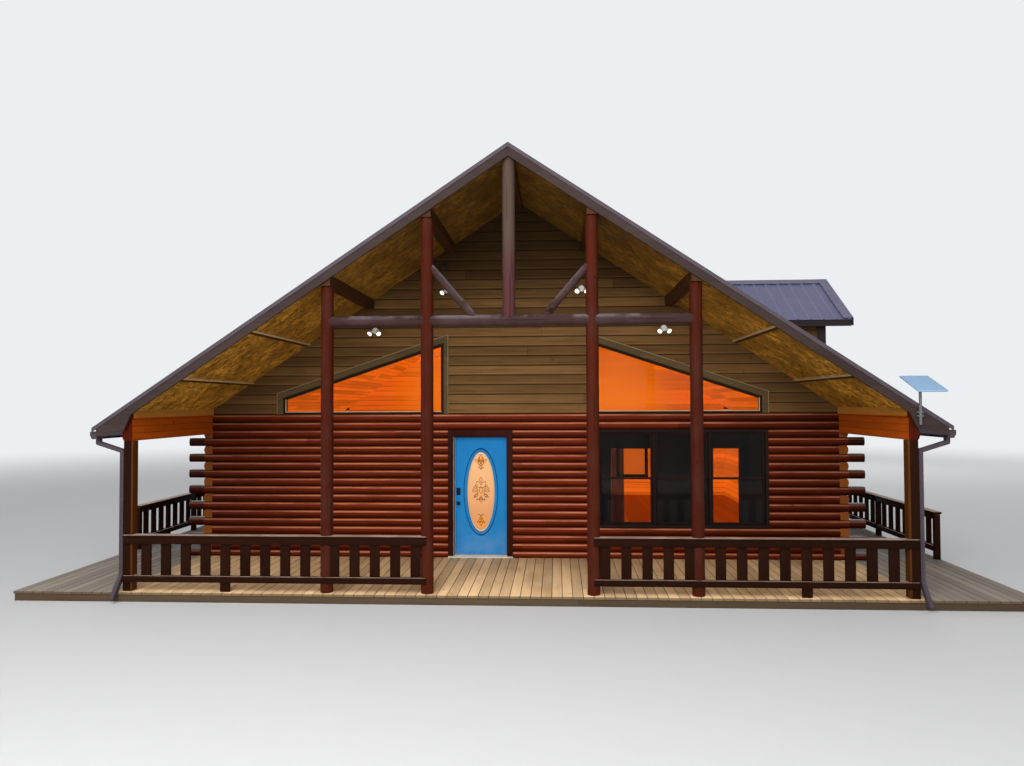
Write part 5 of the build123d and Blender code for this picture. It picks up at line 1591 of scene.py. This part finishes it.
class CABIN_OT_door_lock(bpy.types.Operator):
    """Knob and keypad bolt, on both faces of the door"""

    bl_idname = "cabin.door_lock"
    bl_label = "Door lock"

    def execute(self, context):
        x = leaf_low.x + 0.067
        knob_z = leaf_low.z + 0.881
        bolt_z = leaf_low.z + 1.086
        profile = [(0.0, 0.0), (0.0, 0.0325), (0.004, 0.0325), (0.008, 0.029), (0.010, 0.013), (0.024, 0.011),
                   (0.032, 0.013), (0.038, 0.022), (0.050, 0.0268), (0.060, 0.0265), (0.067, 0.020),
                   (0.071, 0.010), (0.072, 0.0)]
        parts = []
        for face, out in ((door_front, -1), (door_back, 1)):
            parts.append(turned(profile, (x, face, knob_z), (0, out, 0), 36))
            near, away = sorted((face, face + out * 0.022))
            parts.append(block((x - 0.033, near, bolt_z - 0.06), (x + 0.033, away, bolt_z + 0.06), 0.008, 4))
        key_profile = [(0.0, 0.0), (0.0, 0.0062), (0.0012, 0.0062), (0.0022, 0.005), (0.0022, 0.0)]
        for row in range(4):
            for column in range(3):
                place = (x - 0.017 + column * 0.017, door_front - 0.0215, bolt_z + 0.034 - row * 0.019)
                parts.append(turned(key_profile, place, (0, -1, 0), 12))
        parts.append(block((x - 0.006, door_back + 0.021, bolt_z - 0.022),
                           (x + 0.006, door_back + 0.034, bolt_z + 0.022), 0.004, 3))
        place_piece(joined(parts), "door_locks", "lock_black", ["door_lock"], DOOR)
        dress("hinge_steel", "door_hinges", "frame_hinges")
        return {"FINISHED"}


class CABIN_OT_doorway(bpy.types.Operator):
    """Casing, stops, weather strip and sill of the front doorway"""

    bl_idname = "cabin.doorway"
    bl_label = "Doorway"

    def execute(self, context):
        low, high = frame_low, frame_high
        in_left, in_right, in_top = leaf_low.x - 0.008, leaf_high.x + 0.006, leaf_high.z + 0.008
        sill_top = floor_high.z
        sill_low = deck_top + 0.0008
        stop_back = high.y - 0.052
        stop_front = stop_back - 0.04
        stop_width = 0.012
        parts = [
            block((low.x, low.y, sill_top), (in_left, high.y, high.z), 0.005, 3),
            block((in_right, low.y, sill_top), (high.x, high.y, high.z), 0.005, 3),
            block((in_left, low.y, in_top), (in_right, high.y, high.z), 0.005, 3),
            block((in_left, stop_front, sill_top), (in_left + stop_width, stop_back, in_top), 0.002),
            block((in_right - stop_width, stop_front, sill_top), (in_right, stop_back, in_top), 0.002),
            block((in_left, stop_front, in_top - stop_width), (in_right, stop_back, in_top), 0.002),
        ]
        place_piece(joined(parts), "doorway_casing", "door_casing", ["door_frame"])
        strips = [
            block((in_left + 0.0122, stop_back - 0.012, sill_top),
                  (in_left + 0.019, stop_back - 0.001, in_top - 0.013), 0.002, 3),
            block((in_left + 0.0002, low.y + 0.01, sill_top + 0.001),
                  (in_left + 0.004, stop_front - 0.002, in_top - 0.001), 0.001),
        ]
        place_piece(joined(strips), "weather_strips", "door_edge")
        section = [(low.y, sill_low), (high.y, sill_low), (high.y, sill_top), (low.y + 0.06, sill_top),
                   (low.y, sill_top - 0.016)]
        sill = moved(outline([section], high.x - low.x, 0.002), ((low.x + high.x) / 2, 0.0, 0.0), math.pi / 2)
        ribs = [block((in_left, low.y + front, sill_top - 0.002),
                      (in_right, low.y + front + 0.005, sill_top + 0.0008), 0.0008)
                for front in (0.070, 0.082)]
        place_piece(joined([sill, *ribs]), "door_sill", "sill_metal")
        return {"FINISHED"}


# Fittings

class CABIN_OT_wall_lights(bpy.types.Operator):
    """Twin floodlights and a small dome camera on the front gable"""

    bl_idname = "cabin.wall_lights"
    bl_label = "Wall fittings"

    def execute(self, context):
        siding_face = wall_face + 0.022 - hair
        spots = ((-2.5, 0.696), (-1.23, 0.843), (1.1, 0.93), (2.5, 0.696))
        plate_profile = [(0.0, 0.0), (0.0, 0.055), (0.018, 0.055), (0.028, 0.047),
                         (0.030, 0.030), (0.030, 0.0)]
        head_profile = [(0.0, 0.0), (0.0, 0.014), (0.006, 0.020), (0.020, 0.034), (0.048, 0.044),
                        (0.068, 0.045), (0.070, 0.043), (0.067, 0.040), (0.0665, 0.038)]
        face_profile = [(0.0, 0.0), (0.001, 0.020), (0.0, 0.0385)]
        arm_profile = [(0.0, 0.0), (0.0, 0.012), (0.02, 0.0095), (0.036, 0.0095),
                       (0.046, 0.013), (0.054, 0.0)]
        dome_profile = [(0.0, 0.0), (0.0, 0.060), (0.030, 0.060), (0.045, 0.056), (0.050, 0.050),
                        (0.052, 0.049), (0.070, 0.046), (0.085, 0.037), (0.095, 0.022), (0.100, 0.0)]
        bodies, faces = [turned(plate_profile, (0, 0, 0), (0, -1, 0), 32)], []
        for side in (-1, 1):
            aim = Vector((side * 0.035, -0.060, -0.055))
            elbow = Vector((side * 0.055, -0.060, -0.020))
            bodies.append(turned(head_profile, elbow, aim, 28))
            faces.append(turned(face_profile, elbow + aim.normalized() * 0.066, aim, 28))
            shoulder = Vector((side * 0.030, -0.022, 0.0))
            bodies.append(turned(arm_profile, shoulder, (side * 0.025, -0.035, -0.020), 20))
        body = joined(bodies)
        face = joined(faces)
        places = [(x, siding_face, ridge_top - slope * abs(x) - drop) for x, drop in spots]
        lamps = [copy_of(body, place) for place in places]
        glasses = [copy_of(face, place) for place in places]
        remove(body, face)
        dome_x, drop = -1.29, 0.41
        base = (dome_x, siding_face, ridge_top - slope * abs(dome_x) - drop)
        dome = turned(dome_profile, base, (0, -1, 0), 36)
        place_piece(joined(lamps), "wall_lamps", "white_metal", ["wall_fixtures"])
        place_piece(dome, "dome", "dome_shell")
        place_piece(joined(glasses), "lamp_faces", "lamp_glass")
        return {"FINISHED"}


class CABIN_OT_dish(bpy.types.Operator):
    """The flat dish, its mast and its clamps on the right rake board"""

    bl_idname = "cabin.dish"
    bl_label = "Dish"

    def execute(self, context):
        rake_front = trim_low.y
        x = house_half - 0.010
        mast_x = house_half - 0.050
        y = rake_front - 0.040
        rake_top = ridge_top - slope * mast_x
        foot, z = rake_top - 0.283, rake_top + 0.267
        plate = block((-0.1915, -0.297, -0.013), (0.1915, 0.297, 0.013), 0.012, 4)
        rim = block((-0.178, -0.284, -0.015), (0.178, 0.284, -0.010), 0.002)
        hub_profile = [(0.0, 0.0), (0.0, 0.05), (0.02, 0.045), (0.035, 0.026), (0.05, 0.024), (0.05, 0.0)]
        hub = turned(hub_profile, (mast_x - x, 0.0, -0.012), (0, 0, -1), 28)
        panel = joined([plate, rim])
        for part in (panel, hub):
            part.data.transform(Matrix.Translation((x, y, z)) @ Matrix.Rotation(math.radians(21), 4, "X"))
        place_piece(panel, "dish_panel", "dish_plastic", ["dish"])
        tall = z - foot
        mast_profile = [(0.0, 0.0), (0.0, 0.017), (0.002, 0.019),
                        (tall - 0.002, 0.019), (tall, 0.017), (tall, 0.0)]
        parts = [hub, turned(mast_profile, (mast_x, y, foot), (0, 0, 1), 24)]
        bolt_profile = [(0.0, 0.0), (0.0, 0.007), (0.005, 0.007), (0.006, 0.0055), (0.006, 0.0)]
        for drop in (0.165, 0.115):
            height = rake_top - drop
            parts.append(block((mast_x - 0.035, y - 0.012, height - 0.014),
                               (mast_x + 0.035, rake_front + 0.012 - hair, height + 0.014), 0.003))
            for side in (-1, 1):
                parts.append(turned(bolt_profile, (mast_x + side * 0.027, y - 0.0115, height), (0, -1, 0), 6))
        place_piece(joined(parts), "dish_mount", "dish_steel")
        return {"FINISHED"}


# Stage

class CABIN_OT_stage(bpy.types.Operator):
    """Pale floor, soft lamps, pale surroundings and the camera"""

    bl_idname = "cabin.stage"
    bl_label = "Stage"

    def execute(self, context):
        scene = bpy.context.scene
        scene.view_settings.view_transform = "Standard"
        background = (0.84, 0.86, 0.88)
        self.floor(background)
        self.surroundings(background)
        self.lamp("key", (-3.0, -18.0, 9.0), (0.0, -4.0, 1.6), 10.0, 2100)
        self.lamp("low_fill", (3.0, -20.0, 2.0), (0.0, -3.0, 2.8), 9.0, 900)
        self.lamp("back_fill", (12.0, 20.0, 12.0), (0.0, 2.0, 2.0), 12.0, 1300)
        self.camera()
        return {"FINISHED"}

    def floor(self, background):
        """A pale floor that fades into the background far away."""
        bpy.ops.object.select_all(action="DESELECT")
        bpy.ops.mesh.primitive_plane_add(size=260, location=(0, 0, -0.001))
        floor = settled()
        floor.name = "studio_floor"
        finish = Finish("studio_floor", roughness=0.95, gloss=0.0)
        near = finish.mix(finish.noise(finish.place, 3.0, 3.0), (0.52, 0.52, 0.515), (0.55, 0.55, 0.545))
        seen = finish.node("ShaderNodeLightPath")
        far = finish.smooth(finish.radius(finish.axes[X], finish.axes[Y]), 14.0, 44.0) * seen
        finish.set("Emission Color", finish.mix(far, finish.shade((0.10, 0.10, 0.105), seen), background))
        finish.set("Emission Strength", 1.0)
        floor.data.materials.append(finish.done(finish.mix(far, near, NO_LIGHT)))

    def surroundings(self, background):
        """A world that looks like the background and lights the cabin more softly."""
        world = bpy.data.worlds.new("studio")
        bpy.context.scene.world = world
        world.use_nodes = True
        nodes = Nodes(world.node_tree)
        ray = nodes.node("ShaderNodeLightPath", output="Is Camera Ray")
        seen = ray.most(ray.part("Is Transmission Ray")).most(ray.part("Is Glossy Ray"))
        lit = nodes.node("ShaderNodeBackground", sockets={"Color": (0.95, 0.97, 1.0), "Strength": 0.50})
        shown = nodes.node("ShaderNodeBackground", sockets={"Color": background, "Strength": 1.0})
        blend = nodes.node("ShaderNodeMixShader", sockets={0: seen, 1: lit, 2: shown})
        nodes.node("ShaderNodeOutputWorld", sockets={0: blend})

    def lamp(self, name, place, target, size, power):
        """A large square lamp aimed at a point."""
        aim = (Vector(target) - Vector(place)).to_track_quat("-Z", "Y").to_euler()
        bpy.ops.object.light_add(type="AREA", location=place, rotation=aim)
        lamp = bpy.context.object
        lamp.name = name
        lamp.data.shape = "SQUARE"
        lamp.data.size = size
        lamp.data.energy = power
        lamp.visible_glossy = False

    def camera(self):
        """The camera, standing where the cabin was seen from."""
        yaw, pitch, roll = 0.05806, 0.02721, -0.0040
        forward = Vector((-math.sin(yaw) * math.cos(pitch), math.cos(yaw) * math.cos(pitch), math.sin(pitch)))
        right = Vector((math.cos(yaw), math.sin(yaw), 0.0))
        up = right.cross(forward)
        right_rolled = right * math.cos(roll) + up * math.sin(roll)
        up_rolled = up * math.cos(roll) - right * math.sin(roll)
        turn = Matrix((right_rolled, up_rolled, -forward)).transposed()
        bpy.ops.object.camera_add(location=(0.6648, -16.5907, 2.7788), rotation=turn.to_euler())
        camera = bpy.context.object
        camera.data.lens = 27.12
        camera.data.clip_end = 400.0
        bpy.context.scene.camera = camera


class CABIN_PT_panel(bpy.types.Panel):
    """Lists the cabin's pieces, sizes and colours"""

    bl_label = "Cabin"
    bl_idname = "CABIN_PT_panel"
    bl_space_type = "VIEW_3D"
    bl_region_type = "UI"
    bl_category = "Cabin"

    def draw(self, context):
        column = self.layout.column()
        for operator in PIECES:
            column.operator(operator.bl_idname)
        for group in (context.scene.cabin_sizes, context.scene.cabin_colours):
            for name in group.__annotations__:
                column.prop(group, name)


PIECES = (
    CABIN_OT_stage,
    CABIN_OT_walls,
    CABIN_OT_roof,
    CABIN_OT_roof_screws,
    CABIN_OT_decks,
    CABIN_OT_porch_rails,
    CABIN_OT_side_rails,
    CABIN_OT_porch_posts,
    CABIN_OT_windows,
    CABIN_OT_gable_windows,
    CABIN_OT_door,
    CABIN_OT_door_ornament,
    CABIN_OT_door_lock,
    CABIN_OT_doorway,
    CABIN_OT_wall_lights,
    CABIN_OT_dish,
)
CLASSES = (CabinSizes, CabinColours, *PIECES, CABIN_PT_panel)


def register():
    for cls in CLASSES:
        bpy.utils.register_class(cls)
    bpy.types.Scene.cabin_sizes = bpy.props.PointerProperty(type=CabinSizes)
    bpy.types.Scene.cabin_colours = bpy.props.PointerProperty(type=CabinColours)


def unregister():
    del bpy.types.Scene.cabin_colours
    del bpy.types.Scene.cabin_sizes
    for cls in reversed(CLASSES):
        bpy.utils.unregister_class(cls)


def main():
    """Make every piece in order."""
    register()
    for operator in PIECES:
        area, name = operator.bl_idname.split(".")
        getattr(getattr(bpy.ops, area), name)()


if __name__ == "__main__":
    main()
